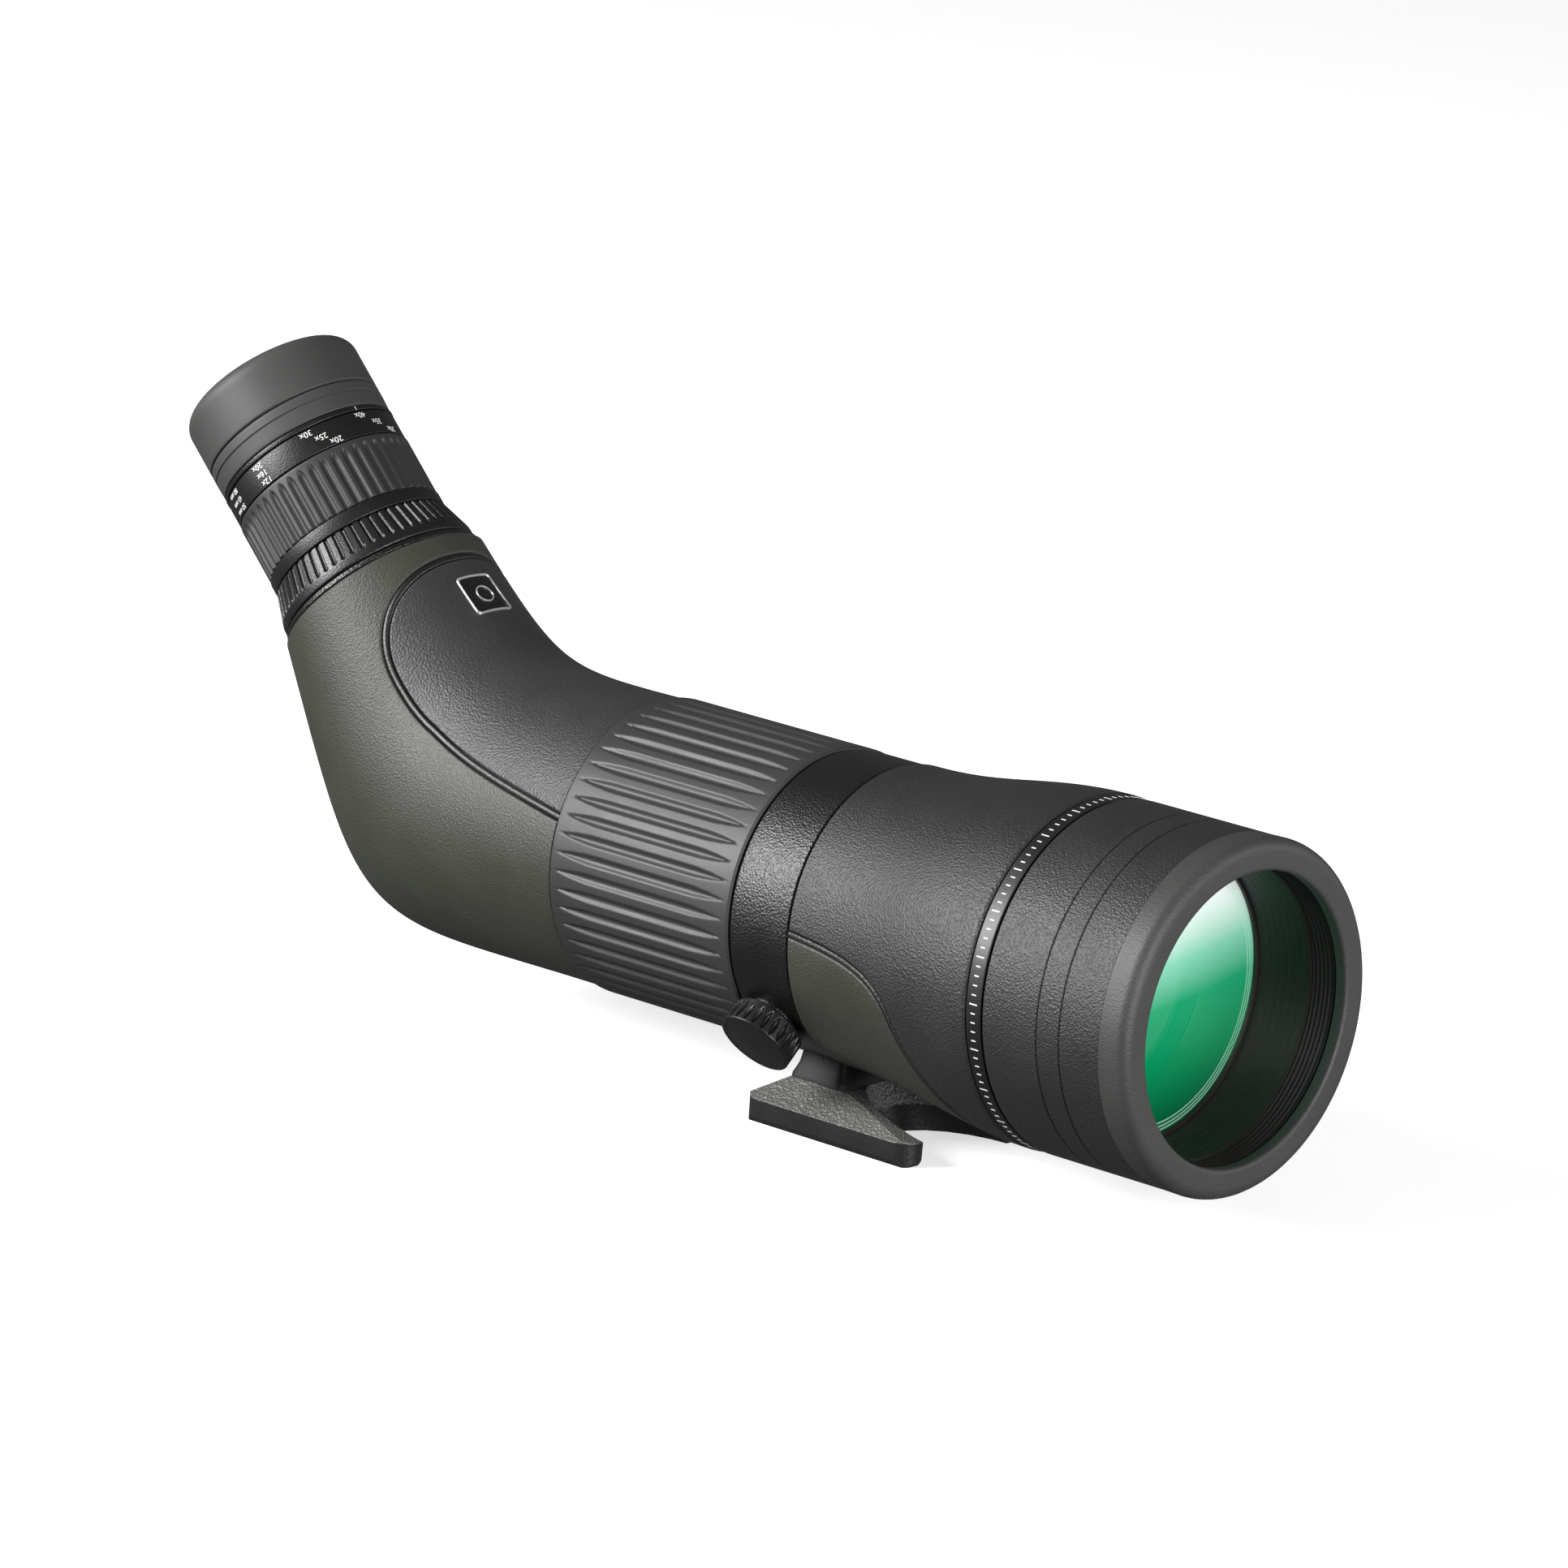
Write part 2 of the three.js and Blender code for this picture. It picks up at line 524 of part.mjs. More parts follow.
// The lower cover rises to mid-height behind and sweeps down to the bottom in front.
function lowerCoverOutline(grow) {
  const outline = new THREE.Shape();
  const front = objective.armorLength - lowerCover.frontInset;
  const [shoulderPoint, flankPoint, low] = lowerCover.sweep;
  outline.moveTo(-past, lowerCover.rearEdge + grow);
  outline.lineTo(lowerCover.knee.station, lowerCover.knee.height + grow);
  outline.bezierCurveTo(
    shoulderPoint[0] + grow, shoulderPoint[1] + grow, flankPoint[0] + grow, flankPoint[1],
    low[0] + grow, low[1],
  );
  outline.lineTo(front + grow, -axisHeight);
  outline.lineTo(-past, -axisHeight);
  outline.closePath();
  return outline;
}
piece(optical, "objective_lower_cover", greenArmor,
  sleeve.intersect(solidOf(sideCutter(lowerCoverOutline(0)))));
piece(optical, "objective_armor", charcoalArmor,
  sleeve.subtract(solidOf(sideCutter(lowerCoverOutline(gap)))));

piece(mainAxis, "marking_band", blackPlastic,
  ring(bandRadius - band.wall, bandRadius, bandRear, bandRear + band.width - gap));

const frontLensRear = frontSeat - gap - lens.edge;
const rearLensFront = frontLensRear - lens.spacer;
const rearLensRear = rearLensFront - rearLens.edge;
piece(mainAxis, "front_lens", glass, lensBody(
  lens.radius, frontLensRear, frontSeat - gap, lens.bulge, -lens.hollow,
));
const lensHoldIn = lens.radius - lens.ringWall;
piece(mainAxis, "lens_spacer", innerBlack,
  ring(lensHoldIn, lens.radius, rearLensFront + gap, frontLensRear - gap));
piece(mainAxis, "rear_lens", glass,
  lensBody(lens.radius, rearLensRear, rearLensFront, -rearLens.hollow, rearLens.bulge));
piece(mainAxis, "lens_retainer", innerBlack,
  ring(lensHoldIn, lens.radius, lensStackRear, rearLensRear - gap - rearLens.bulge));
const [wallRear, wallFront] = innerFlare;
const wallRadius = THREE.MathUtils.mapLinear(
  baffle.station, wallRear[0], wallFront[0], wallRear[1], wallFront[1],
);
const baffleOuter = wallRadius - baffle.clearance;
piece(mainAxis, "baffle_ring", innerBlack,
  ring(tubeBore - baffle.inset, baffleOuter, baffle.station, baffle.station + baffle.thickness));
piece(mainAxis, "filter_ring", innerBlack,
  ring(lensBore + filterThread.relief, coreTubeOuter, threadRear, threadFront));
const frictionInner = grooveFloor + gap;
piece(mainAxis, "sunshade_friction_ring", rubber, ring(
  frictionInner, frictionInner + frictionGroove.ringHeight, grooveRear + gap, grooveFront - gap,
));

// ---- sliding sunshade ------------------------------------------------------------------------

const lipRear = mouthFace - sunshade.lipLength;
const lipBack = mouthFace - mouth.lipThickness;
piece(mainAxis, "sunshade_tube", blackMetal,
  ring(shadeTubeBore, shadeTubeOuter, shadeRear, lipBack - gap));
piece(mainAxis, "sunshade_armor", charcoalArmor,
  ring(shadeTubeOuter + gap, shadeRadius, shadeRear, lipRear - gap));
piece(mainAxis, "sunshade_lip", rubber, turned([
  [lipRear, shadeTubeOuter + gap], [lipRear, lipRadius],
  [mouthFace - lipEdge.shoulder, lipRadius],
  [mouthFace - lipEdge.corner, lipRadius - lipEdge.drop],
  [mouthFace, lipRadius - lipEdge.shoulder],
  [mouthFace, mouthRadius + mouth.flare], [mouthFace - mouth.flare, mouthRadius],
  [lipBack, mouthRadius], [lipBack, shadeTubeOuter + gap],
]));

// ---- rear body -------------------------------------------------------------------------------

const tiltX = -Math.sin(eyepieceTilt);
const tiltZ = Math.cos(eyepieceTilt);
const neckCentre = new THREE.Vector2(crossing + tiltX * body.neckHeight, tiltZ * body.neckHeight);

// The body's side view: a heel line below and a crook line above, from the front circle to the neck.
function sideLine(spec, side) {
  const start = new THREE.Vector2(bodyFront, side * bodyFrontRadius);
  const end = new THREE.Vector2(
    neckCentre.x + side * tiltZ * bodyNeckRadius,
    neckCentre.y - side * tiltX * bodyNeckRadius,
  );
  return new THREE.CubicBezierCurve(
    start,
    new THREE.Vector2(start.x - spec.frontReach, start.y),
    new THREE.Vector2(
      end.x + Math.cos(spec.neckAngle) * spec.neckReach,
      end.y - Math.sin(spec.neckAngle) * spec.neckReach,
    ),
    end,
  );
}
const heelLine = sideLine(heel, -1);
const crookLine = sideLine(crook, 1);
const widthLine = new THREE.CubicBezierCurve(
  new THREE.Vector2(0, bodyFrontRadius),
  new THREE.Vector2(1, bodyFrontRadius - waist.front),
  new THREE.Vector2(2, bodyFrontRadius - waist.rear),
  new THREE.Vector2(3, bodyNeckRadius),
);

// One oval section of the loft, from the heel to the crook, drawn in by inset.
function bodySection(along, inset, sides) {
  const low = heelLine.getPoint(along);
  const high = crookLine.getPoint(along);
  const middle = low.clone().add(high).multiplyScalar(0.5);
  const up = high.clone().sub(low).multiplyScalar(0.5);
  const reachUp = up.length() - inset;
  const reachSide = widthLine.getPoint(along).y - inset;
  up.normalize();
  const points = [];
  for (let i = 0; i < sides; i++) {
    const angle = (2 * Math.PI * i) / sides;
    const rise = reachUp * Math.cos(angle);
    points.push([middle.x + up.x * rise, reachSide * Math.sin(angle), middle.y + up.y * rise]);
  }
  return points;
}

// The loft as a closed solid. A positive overrun carries both ends straight on, for a cutter.
function bodyLoft(inset, overrun = 0, steps = 10, sides = 24) {
  const sections = [];
  for (let i = 0; i <= steps; i++) sections.push(bodySection(i / steps, inset, sides));
  if (overrun) {
    sections.unshift(sections[0].map(([x, y, z]) => [x + overrun, y, z]));
    sections.push(sections.at(-1).map(([x, y, z]) => [x + tiltX * overrun, y, z + tiltZ * overrun]));
  }
  const positions = sections.flat(2);
  const index = [];
  for (let j = 0; j < sections.length - 1; j++) {
    for (let i = 0; i < sides; i++) {
      const next = (i + 1) % sides;
      const a = j * sides + i;
      const b = j * sides + next;
      index.push(a, b, b + sides, a, b + sides, a + sides);
    }
  }
  const last = (sections.length - 1) * sides;
  for (let i = 1; i < sides - 1; i++) {
    index.push(0, i + 1, i, last, last + i, last + i + 1);
  }
  return new THREE.BufferGeometry()
    .setAttribute("position", new THREE.Float32BufferAttribute(positions, 3))
    .setIndex(index);
}

const housingInset = armor + gap;
const tubeSeat = bar(tube.outer + gap, bodyFront - tube.rearEngagement - gap, bodyFront + past);
const housing = solidOf(bodyLoft(housingInset))
  .subtract(solidOf(bodyLoft(housingInset + body.wall, 2 * past)))
  .subtract(solidOf(alongMain(tubeSeat)));
piece(optical, "prism_housing", blackMetal, housing);

// The inlaid panel covers the crook side, from the focus ring to just under the neck.
const panelEnd = crookLine.getPoint(panelSide.topShare);
function panelOutline(grow) {
  const outline = new THREE.Shape();
  const { frontHeight, dip, rise, bend, climb } = panelLine;
  const sideX = crossing - panelSide.inset - grow;
  outline.moveTo(bodyFront + past, frontHeight - grow);
  outline.lineTo(bodyFront, frontHeight - grow);
  outline.quadraticCurveTo(crossing + dip[0], dip[1] - grow, crossing + rise[0], rise[1] - grow);
  outline.bezierCurveTo(
    crossing + bend[0] - grow, bend[1], crossing + climb[0] - grow, climb[1], sideX, panelSide.height,
  );
  outline.lineTo(panelEnd.x - grow, panelEnd.y);
  outline.lineTo(panelEnd.x + panelSide.topLean - grow, 2 * axisHeight);
  outline.lineTo(bodyFront + past, 2 * axisHeight);
  outline.closePath();
  return outline;
}
const skin = solidOf(bodyLoft(0)).subtract(solidOf(bodyLoft(armor, 2 * past)));
piece(optical, "body_armor", greenArmor, skin.subtract(solidOf(sideCutter(panelOutline(gap)))));

// A blank badge lies in a pocket on the crook line.
const badgeSpot = crookLine.getPoint(badge.along);
const badgeCourse = crookLine.getTangent(badge.along);
const badgeLean = Math.atan2(badgeCourse.y, -badgeCourse.x);
const badgeBlock = (side, thickness) =>
  block(side, side, thickness, 0, 0, badge.proud - thickness / 2)
    .rotateY(badgeLean)
    .translate(badgeSpot.x, 0, badgeSpot.y);
piece(optical, "top_panel", grainedPanel, skin
  .intersect(solidOf(sideCutter(panelOutline(0))))
  .subtract(solidOf(badgeBlock(badge.side + 2 * gap, badge.thickness + 2 * gap))));
piece(optical, "badge_plate", badgeMetal, badgeBlock(badge.side, badge.thickness));

// ---- prism and its carrier -------------------------------------------------------------------

const carrierFront = bodyFront - tube.rearEngagement - gap;
const prismFront = carrierFront - carrier.flange - prismSize.setBack;
const halfHeight = prismSize.height / 2;
const exitCentre = new THREE.Vector2(tiltX, tiltZ).multiplyScalar(prismSize.exitHeight);
exitCentre.x += crossing;
const exitHalf = prismSize.exitFace / 2;
const prismOutline = new THREE.Shape([
  new THREE.Vector2(prismFront, -halfHeight),
  new THREE.Vector2(crossing, -halfHeight),
  new THREE.Vector2(exitCentre.x - tiltZ * exitHalf, exitCentre.y + tiltX * exitHalf),
  new THREE.Vector2(exitCentre.x + tiltZ * exitHalf, exitCentre.y - tiltX * exitHalf),
  new THREE.Vector2(crossing + prismSize.roofReach, halfHeight),
  new THREE.Vector2(prismFront, halfHeight),
]);
piece(optical, "prism", glass, sideCutter(prismOutline, prismSize.width / 2));

const plateInner = prismSize.width / 2 + gap;
const plateOuter = plateInner + carrier.plate;
const plateRear = crossing - carrier.rearReach;
const plateHalfHeight = halfHeight - carrier.shortBy;
const clampStation = (prismFront + crossing) / 2;
const clampScrewHeight = plateHalfHeight - strapScrew.belowEdge;
const screwHole = (y) => bar(strapScrew.radius + gap, -carrier.flange, carrier.flange, pinSides)
  .rotateX(Math.PI / 2)
  .translate(clampStation, y, clampScrewHeight);
const carrierFlange = ring(
  carrier.window, tube.outer - carrier.flangeInset, carrierFront - carrier.flange, carrierFront,
);
let carrierBody = solidOf(alongMain(carrierFlange));
for (const side of [-1, 1]) {
  const length = carrierFront - past - plateRear;
  const y = (side * (plateInner + plateOuter)) / 2;
  carrierBody = carrierBody
    .add(solidOf(block(length, carrier.plate, 2 * plateHalfHeight, plateRear + length / 2, y, 0)))
    .subtract(solidOf(screwHole(y)));
}
piece(optical, "prism_carrier", bareMetal, carrierBody);

const legInner = plateOuter + gap;
const legOuter = legInner + strap.thickness;
const strapBottom = halfHeight + gap;
const legBottom = clampScrewHeight - strap.legBelowScrew;
const legHeight = strapBottom + strap.thickness - legBottom;
const legMiddle = legBottom + legHeight / 2;
const bridgeMiddle = strapBottom + strap.thickness / 2;
let strapBody = solidOf(block(strap.width, 2 * legOuter, strap.thickness, clampStation, 0, bridgeMiddle));
for (const side of [-1, 1]) {
  const y = (side * (legInner + legOuter)) / 2;
  strapBody = strapBody
    .add(solidOf(block(strap.width, strap.thickness, legHeight, clampStation, y, legMiddle)))
    .subtract(solidOf(screwHole(y)));
}
piece(optical, "prism_clamp", bareMetal, strapBody);
for (const [name, side] of [["prism_clamp_screw_left", 1], ["prism_clamp_screw_right", -1]]) {
  const headFrom = legOuter + gap;
  const screw = solidOf(bar(strapScrew.radius, plateInner + gap / 2, headFrom + overlap, pinSides))
    .add(solidOf(bar(strapScrew.headRadius, headFrom, headFrom + strapScrew.headHeight, pinSides)));
  const laid = geometryOf(screw).rotateX((-side * Math.PI) / 2);
  piece(optical, name, steel, laid.translate(clampStation, 0, clampScrewHeight));
}

// ---- eyepiece --------------------------------------------------------------------------------

const eyeRing = (inner, outer, from, to) => ring(inner, outer, from, to, eyeSides);
const barrelBore = barrel.outer - barrel.wall;
const neckRingTop = body.neckHeight + neckRing.height;
const lockBottom = neckRingTop + gap;
const lockTop = lockBottom + lockRing.height;
const bandBottom = lockTop + gap;
const bandTop = bandBottom + eyeBand.height;
const gripBottom = bandTop + gap;
const gripTop = gripBottom + zoomGrip.height;
const scaleBottom = gripTop + gap;
const scaleTop = scaleBottom + scale.height;
const rimBottom = scaleTop + gap;
const rimTop = rimBottom + indexRim.height;
const cupBottom = rimTop + gap;
const cupJoint = cupBottom + eyecup.baseHeight;
const cupTop = cupJoint + gap + eyecup.cupHeight;
const barrelTop = cupTop - eyecup.lip - barrel.topGap;
const lockBottomRadius = neckRingRadius - lockRing.bottomInset;
const lockTopRadius = lockBottomRadius - lockRing.taper;
const zoomCoreOuter = barrelSleeve + zoomWall.core;
const zoomGripRoot = zoomCoreOuter + gap + zoomGrip.wall;
const indexRadius = barrelSleeve + indexRim.wall;
const upperOuter = barrel.outer - barrel.step;
const barrelRear = body.neckHeight - barrel.tail;

const neckSpigot = body.neckHeight - neckRing.spigot;
const spigotRadius = neckBore * Math.cos(Math.PI / mainSides) - neckRing.clearance; // inside the flat facets
piece(eyeAxis, "eyepiece_seat_ring", blackMetal, turned([
  [neckSpigot, barrel.outer + gap], [neckSpigot, spigotRadius],
  [body.neckHeight + gap, spigotRadius], [body.neckHeight + gap, neckRingRadius],
  [neckRingTop, neckRingRadius], [neckRingTop, barrel.outer + gap],
], eyeSides));

const flangeRadius = barrel.outer + barrelFlange.reach;
const flangeTop = lockBottom + barrelFlange.height;
const skirtTop = flangeTop + lockRing.skirt;
const upperBore = upperOuter - barrel.upperWall;
const boreStep = scaleTop + zoom.endClearance / 2;
const barrelWalls = solidOf(turned([
  [barrelRear, barrelBore], [barrelRear, barrel.outer], [lockBottom, barrel.outer],
  [lockBottom, flangeRadius], [flangeTop, flangeRadius], [flangeTop, barrel.outer],
  [rimTop, barrel.outer], [rimTop, upperOuter], [barrelTop, upperOuter],
  [barrelTop, upperBore], [boreStep + barrel.wall, upperBore], [boreStep, barrelBore],
], eyeSides));
const pinHeight = gripBottom + zoomGrip.height / 2;
const slack = THREE.MathUtils.degToRad(zoom.slack);
const zoomSlot = sector(
  barrelBore - past, barrel.outer + past, -slack, THREE.MathUtils.degToRad(zoom.turn) + slack,
  pinHeight - zoom.pinRadius - gap, pinHeight + zoom.pinRadius + gap,
);
piece(eyeAxis, "eyepiece_barrel", blackMetal, barrelWalls.subtract(solidOf(zoomSlot)));

piece(eyeAxis, "eyepiece_lock_ring", blackPlastic, turned([
  [lockBottom, flangeRadius + gap], [lockBottom, lockBottomRadius - lockRing.chamfer],
  [lockBottom + lockRing.chamfer, lockBottomRadius], [lockTop, lockTopRadius],
  [lockTop, barrelSleeve], [skirtTop, barrelSleeve], [skirtTop, flangeRadius + gap],
], eyeSides));
piece(eyeAxis, "eyepiece_band", blackPlastic,
  eyeRing(barrelSleeve, lockTopRadius - eyeBand.inset, bandBottom, bandTop));

// Zoom ring: core, rubber grip and scale turn together, and a pin carries the turn to the cam tube.
const camOuter = barrelBore - gap;
const camInner = camOuter - zoomWall.cam;
const pinBore = (from, to) =>
  bar(zoom.pinRadius + gap, from, to, pinSides).rotateY(Math.PI / 2).translate(0, 0, pinHeight);
const camBottom = lockBottom + zoom.endClearance;
const camTop = scaleTop - gap;
piece(eyeAxis, "zoom_ring_core", blackPlastic,
  solidOf(eyeRing(barrelSleeve, zoomCoreOuter, gripBottom, scaleTop))
    .subtract(solidOf(pinBore(camInner, zoomCoreOuter + past))));
piece(eyeAxis, "zoom_cam_tube", brass,
  solidOf(eyeRing(camInner, camOuter, camBottom, camTop))
    .subtract(solidOf(pinBore(camInner - past, camOuter + past))));
piece(eyeAxis, "zoom_drive_pin", steel,
  bar(zoom.pinRadius, camInner + gap, zoomCoreOuter - gap / 2, pinSides)
    .rotateY(Math.PI / 2)
    .translate(0, 0, pinHeight));
piece(eyeAxis, "zoom_grip", rubber, ribbedSleeve(
  zoomCoreOuter + gap, zoomGripRoot, zoomGripRoot + zoomGrip.ribHeight, zoomGrip.ribs,
  gripBottom, gripTop, eyeSides,
));
piece(eyeAxis, "scale_ring", blackPlastic,
  eyeRing(zoomCoreOuter + gap, zoomCoreOuter + gap + scale.wall, scaleBottom, scaleTop));
piece(eyeAxis, "index_ring", blackPlastic, eyeRing(barrelSleeve, indexRadius, rimBottom, rimTop));

// Two zoom cells slide in the cam tube, towards each other as the power rises.
const cellRadius = camInner - gap;
const zoomLensRadius = cellRadius - zoomCell.wall;
const zoomFrontBottom = camBottom + zoom.endClearance;
const zoomRearBottom = scaleTop - zoom.endClearance - zoom.rearTravel - zoomCell.height;
for (const [name, bottom] of [["zoom_front", zoomFrontBottom], ["zoom_rear", zoomRearBottom]]) {
  const top = bottom + zoomCell.height;
  const lensBottom = bottom + zoomCell.lensInset;
  const lensTop = top - zoomCell.lensInset;
  piece(eyeAxis, name + "_cell", innerBlack, eyeRing(zoomLensRadius, cellRadius, bottom, top));
  piece(eyeAxis, name + "_lens", glass,
    lensBody(zoomLensRadius - gap, lensBottom, lensTop, zoomCell.bulge, zoomCell.bulge, eyeSides));
}

const fieldStopBottom = rimTop + fieldStop.above;
const fieldStopTop = fieldStopBottom + fieldStop.thickness;
piece(eyeAxis, "field_stop", innerBlack,
  eyeRing(upperBore - gap - fieldStop.wall, upperBore - gap, fieldStopBottom, fieldStopTop));
const eyeLensTop = barrelTop - eyeLens.belowTop;
piece(eyeAxis, "eye_lens", glass, lensBody(
  upperBore - gap, eyeLensTop - eyeLens.edge, eyeLensTop, eyeLens.topBulge, eyeLens.bottomBulge, eyeSides,
));
const retainerBottom = barrelTop + gap;
const retainerOuter = upperOuter - gap;
const retainerTop = retainerBottom + eyeLens.retainerHeight;
piece(eyeAxis, "eye_lens_retainer", blackPlastic,
  eyeRing(retainerOuter - eyeLens.retainerWall, retainerOuter, retainerBottom, retainerTop));

// ---- twist-up eyecup -------------------------------------------------------------------------

const glideInner = upperOuter + gap;
const glideOuter = glideInner + cupSleeve.glideWall;
const glideBottom = cupBottom + gap;
piece(eyeAxis, "eyecup_glide_ring", blackPlastic,
  eyeRing(glideInner, glideOuter, glideBottom, glideBottom + cupSleeve.glideHeight));
const cupSleeveOuter = glideOuter + gap + cupSleeve.wall;
const cupInnerTop = cupTop - eyecup.lip;
const cupOpening = indexRadius - eyecup.openingInset;
piece(eyeAxis, "eyecup_sleeve", blackPlastic, turned([
  [cupBottom, glideOuter + gap], [cupBottom, indexRadius], [cupJoint, indexRadius],
  [cupJoint, cupSleeveOuter], [cupInnerTop - gap, cupSleeveOuter], [cupInnerTop - gap, glideOuter + gap],
], eyeSides));
piece(eyeAxis, "eyecup", rubber, turned([
  [cupJoint + gap, cupSleeveOuter + gap], [cupJoint + gap, indexRadius],
  [cupTop - cupRim.shoulder, indexRadius],
  [cupTop - cupRim.corner, indexRadius - cupRim.cornerInset],
  [cupTop, indexRadius - cupRim.topInset], [cupTop, cupOpening + cupRim.mouthInset],
  [cupTop - cupRim.mouthDepth, cupOpening], [cupInnerTop, cupOpening + eyecup.wall],
  [cupInnerTop, cupSleeveOuter + gap],
], eyeSides));

export default scope;
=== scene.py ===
import math

import bmesh
import bpy
import numpy as np
from mathutils import Matrix, Vector


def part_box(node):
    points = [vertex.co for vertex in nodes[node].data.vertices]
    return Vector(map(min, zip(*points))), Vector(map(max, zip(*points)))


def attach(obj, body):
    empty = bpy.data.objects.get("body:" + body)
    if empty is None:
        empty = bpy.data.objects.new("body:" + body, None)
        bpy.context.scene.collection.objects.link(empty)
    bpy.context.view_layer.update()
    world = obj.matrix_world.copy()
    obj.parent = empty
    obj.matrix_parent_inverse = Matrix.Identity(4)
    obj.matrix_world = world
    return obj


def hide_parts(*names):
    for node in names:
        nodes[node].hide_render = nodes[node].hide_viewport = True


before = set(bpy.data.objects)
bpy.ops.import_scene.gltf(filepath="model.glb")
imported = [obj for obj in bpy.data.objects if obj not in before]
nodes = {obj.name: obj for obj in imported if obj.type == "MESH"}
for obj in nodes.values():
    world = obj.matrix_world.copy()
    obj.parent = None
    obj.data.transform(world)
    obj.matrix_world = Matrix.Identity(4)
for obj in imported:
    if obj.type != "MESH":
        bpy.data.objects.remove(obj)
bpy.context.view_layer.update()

# Angled spotting scope. Surfaces are worked out in millimetres and put in the meshes in metres.
mm = 0.001

camera = {"azimuth": 42.25, "elevation": 14.09, "roll": 3.49, "distance": 2.2187, "lens": 223.6, "sensor": 36,
          "farthest": 50, "target": (-0.03668, 0.0, 0.07316)}


def addObject(name, data):
    obj = bpy.data.objects.new(name, data)
    bpy.context.scene.collection.objects.link(obj)
    return obj


def makeCamera(spec):
    # the camera stands at target + back * distance, then rolls about its own line of sight
    azimuth, elevation, roll = (math.radians(spec[k]) for k in ("azimuth", "elevation", "roll"))
    back = Vector((math.sin(azimuth) * math.cos(elevation), -math.cos(azimuth) * math.cos(elevation),
                   math.sin(elevation)))
    flat = Vector((math.cos(azimuth), math.sin(azimuth), 0))
    tall = back.cross(flat)
    right = flat * math.cos(roll) + tall * math.sin(roll)
    up = tall * math.cos(roll) - flat * math.sin(roll)
    data = bpy.data.cameras.new("camera")
    data.lens = spec["lens"]
    data.sensor_width = spec["sensor"]
    data.clip_end = spec["farthest"]
    obj = addObject("camera", data)
    turn = Matrix((right, up, back)).transposed().to_4x4()
    obj.matrix_world = Matrix.Translation(Vector(spec["target"]) + back * spec["distance"]) @ turn
    bpy.context.scene.camera = obj


makeCamera(camera)
print("camera ready")

# places read from the frame
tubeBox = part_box("main_tube")
axisHeight = (tubeBox[0].z + tubeBox[1].z) / 2 / mm
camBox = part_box("zoom_cam_tube")
camMiddle = (camBox[0] + camBox[1]) / 2 / mm
tilt = math.radians(45)  # the eyepiece leans back by this much
crossing = camMiddle.x + (camMiddle.z - axisHeight) * math.tan(tilt)

mainAxis = {"origin": (0, 0, axisHeight), "along": (1, 0, 0), "up": (0, 0, 1), "side": (0, -1, 0)}
eyeAxis = {"origin": (crossing, 0, axisHeight), "along": (-math.sin(tilt), 0, math.cos(tilt)),
           "up": (math.cos(tilt), 0, math.sin(tilt)), "side": (0, -1, 0)}


def coordinates(mesh):
    flat = np.empty(len(mesh.vertices) * 3)
    mesh.vertices.foreach_get("co", flat)
    return flat.reshape(-1, 3)


def span(node, axis):
    # first and last station along an axis, and the least and greatest radius, of a CAD node's corners
    points = coordinates(nodes[node].data) / mm - np.array(axis["origin"])
    station = points @ np.array(axis["along"])
    radius = np.sqrt(np.maximum((points ** 2).sum(1) - station ** 2, 0))
    return {"start": station.min(), "end": station.max(), "inner": radius.min(), "outer": radius.max()}


def gridFaces(rows, columns, first, wrapRows, wrapColumns):
    # quads between neighbouring rows and columns, numbered from first
    index = first + np.arange(rows * columns).reshape(rows, columns)
    if wrapRows:
        index = np.vstack([index, index[:1]])
    if wrapColumns:
        index = np.hstack([index, index[:, :1]])
    corners = [index[:-1, :-1], index[:-1, 1:], index[1:, 1:], index[1:, :-1]]
    return np.stack([c.ravel() for c in corners], 1)


weld = {"merge": 2e-6, "collapse": 1e-7}  # metres


def pieceFrom(name, grids, sharp=35):
    # grids of points (rows, columns, 3) are joined, their doubles merged, and every face turned outwards
    vertices, faces, first = [], [], 0
    for points, wrapRows, wrapColumns in grids:
        rows, columns = points.shape[:2]
        vertices.append(points.reshape(-1, 3) * mm)
        faces.append(gridFaces(rows, columns, first, wrapRows, wrapColumns))
        first += rows * columns
    mesh = bpy.data.meshes.new(name)
    mesh.from_pydata(np.vstack(vertices).tolist(), [], np.vstack(faces).tolist())
    work = bmesh.new()
    work.from_mesh(mesh)
    bmesh.ops.remove_doubles(work, verts=work.verts, dist=weld["merge"])
    bmesh.ops.dissolve_degenerate(work, edges=work.edges, dist=weld["collapse"])
    bmesh.ops.recalc_face_normals(work, faces=work.faces)
    if work.calc_volume(signed=True) < 0:
        bmesh.ops.reverse_faces(work, faces=work.faces)
    work.to_mesh(mesh)
    work.free()
    finishSmooth(mesh, sharp)
    return addObject(name, mesh)


def finishSmooth(mesh, sharp):
    # smooth shading, with edges kept crisp past the sharp angle
    mesh.polygons.foreach_set("use_smooth", np.ones(len(mesh.polygons), bool))
    mesh.set_sharp_from_angle(angle=math.radians(sharp))
    mesh.update()


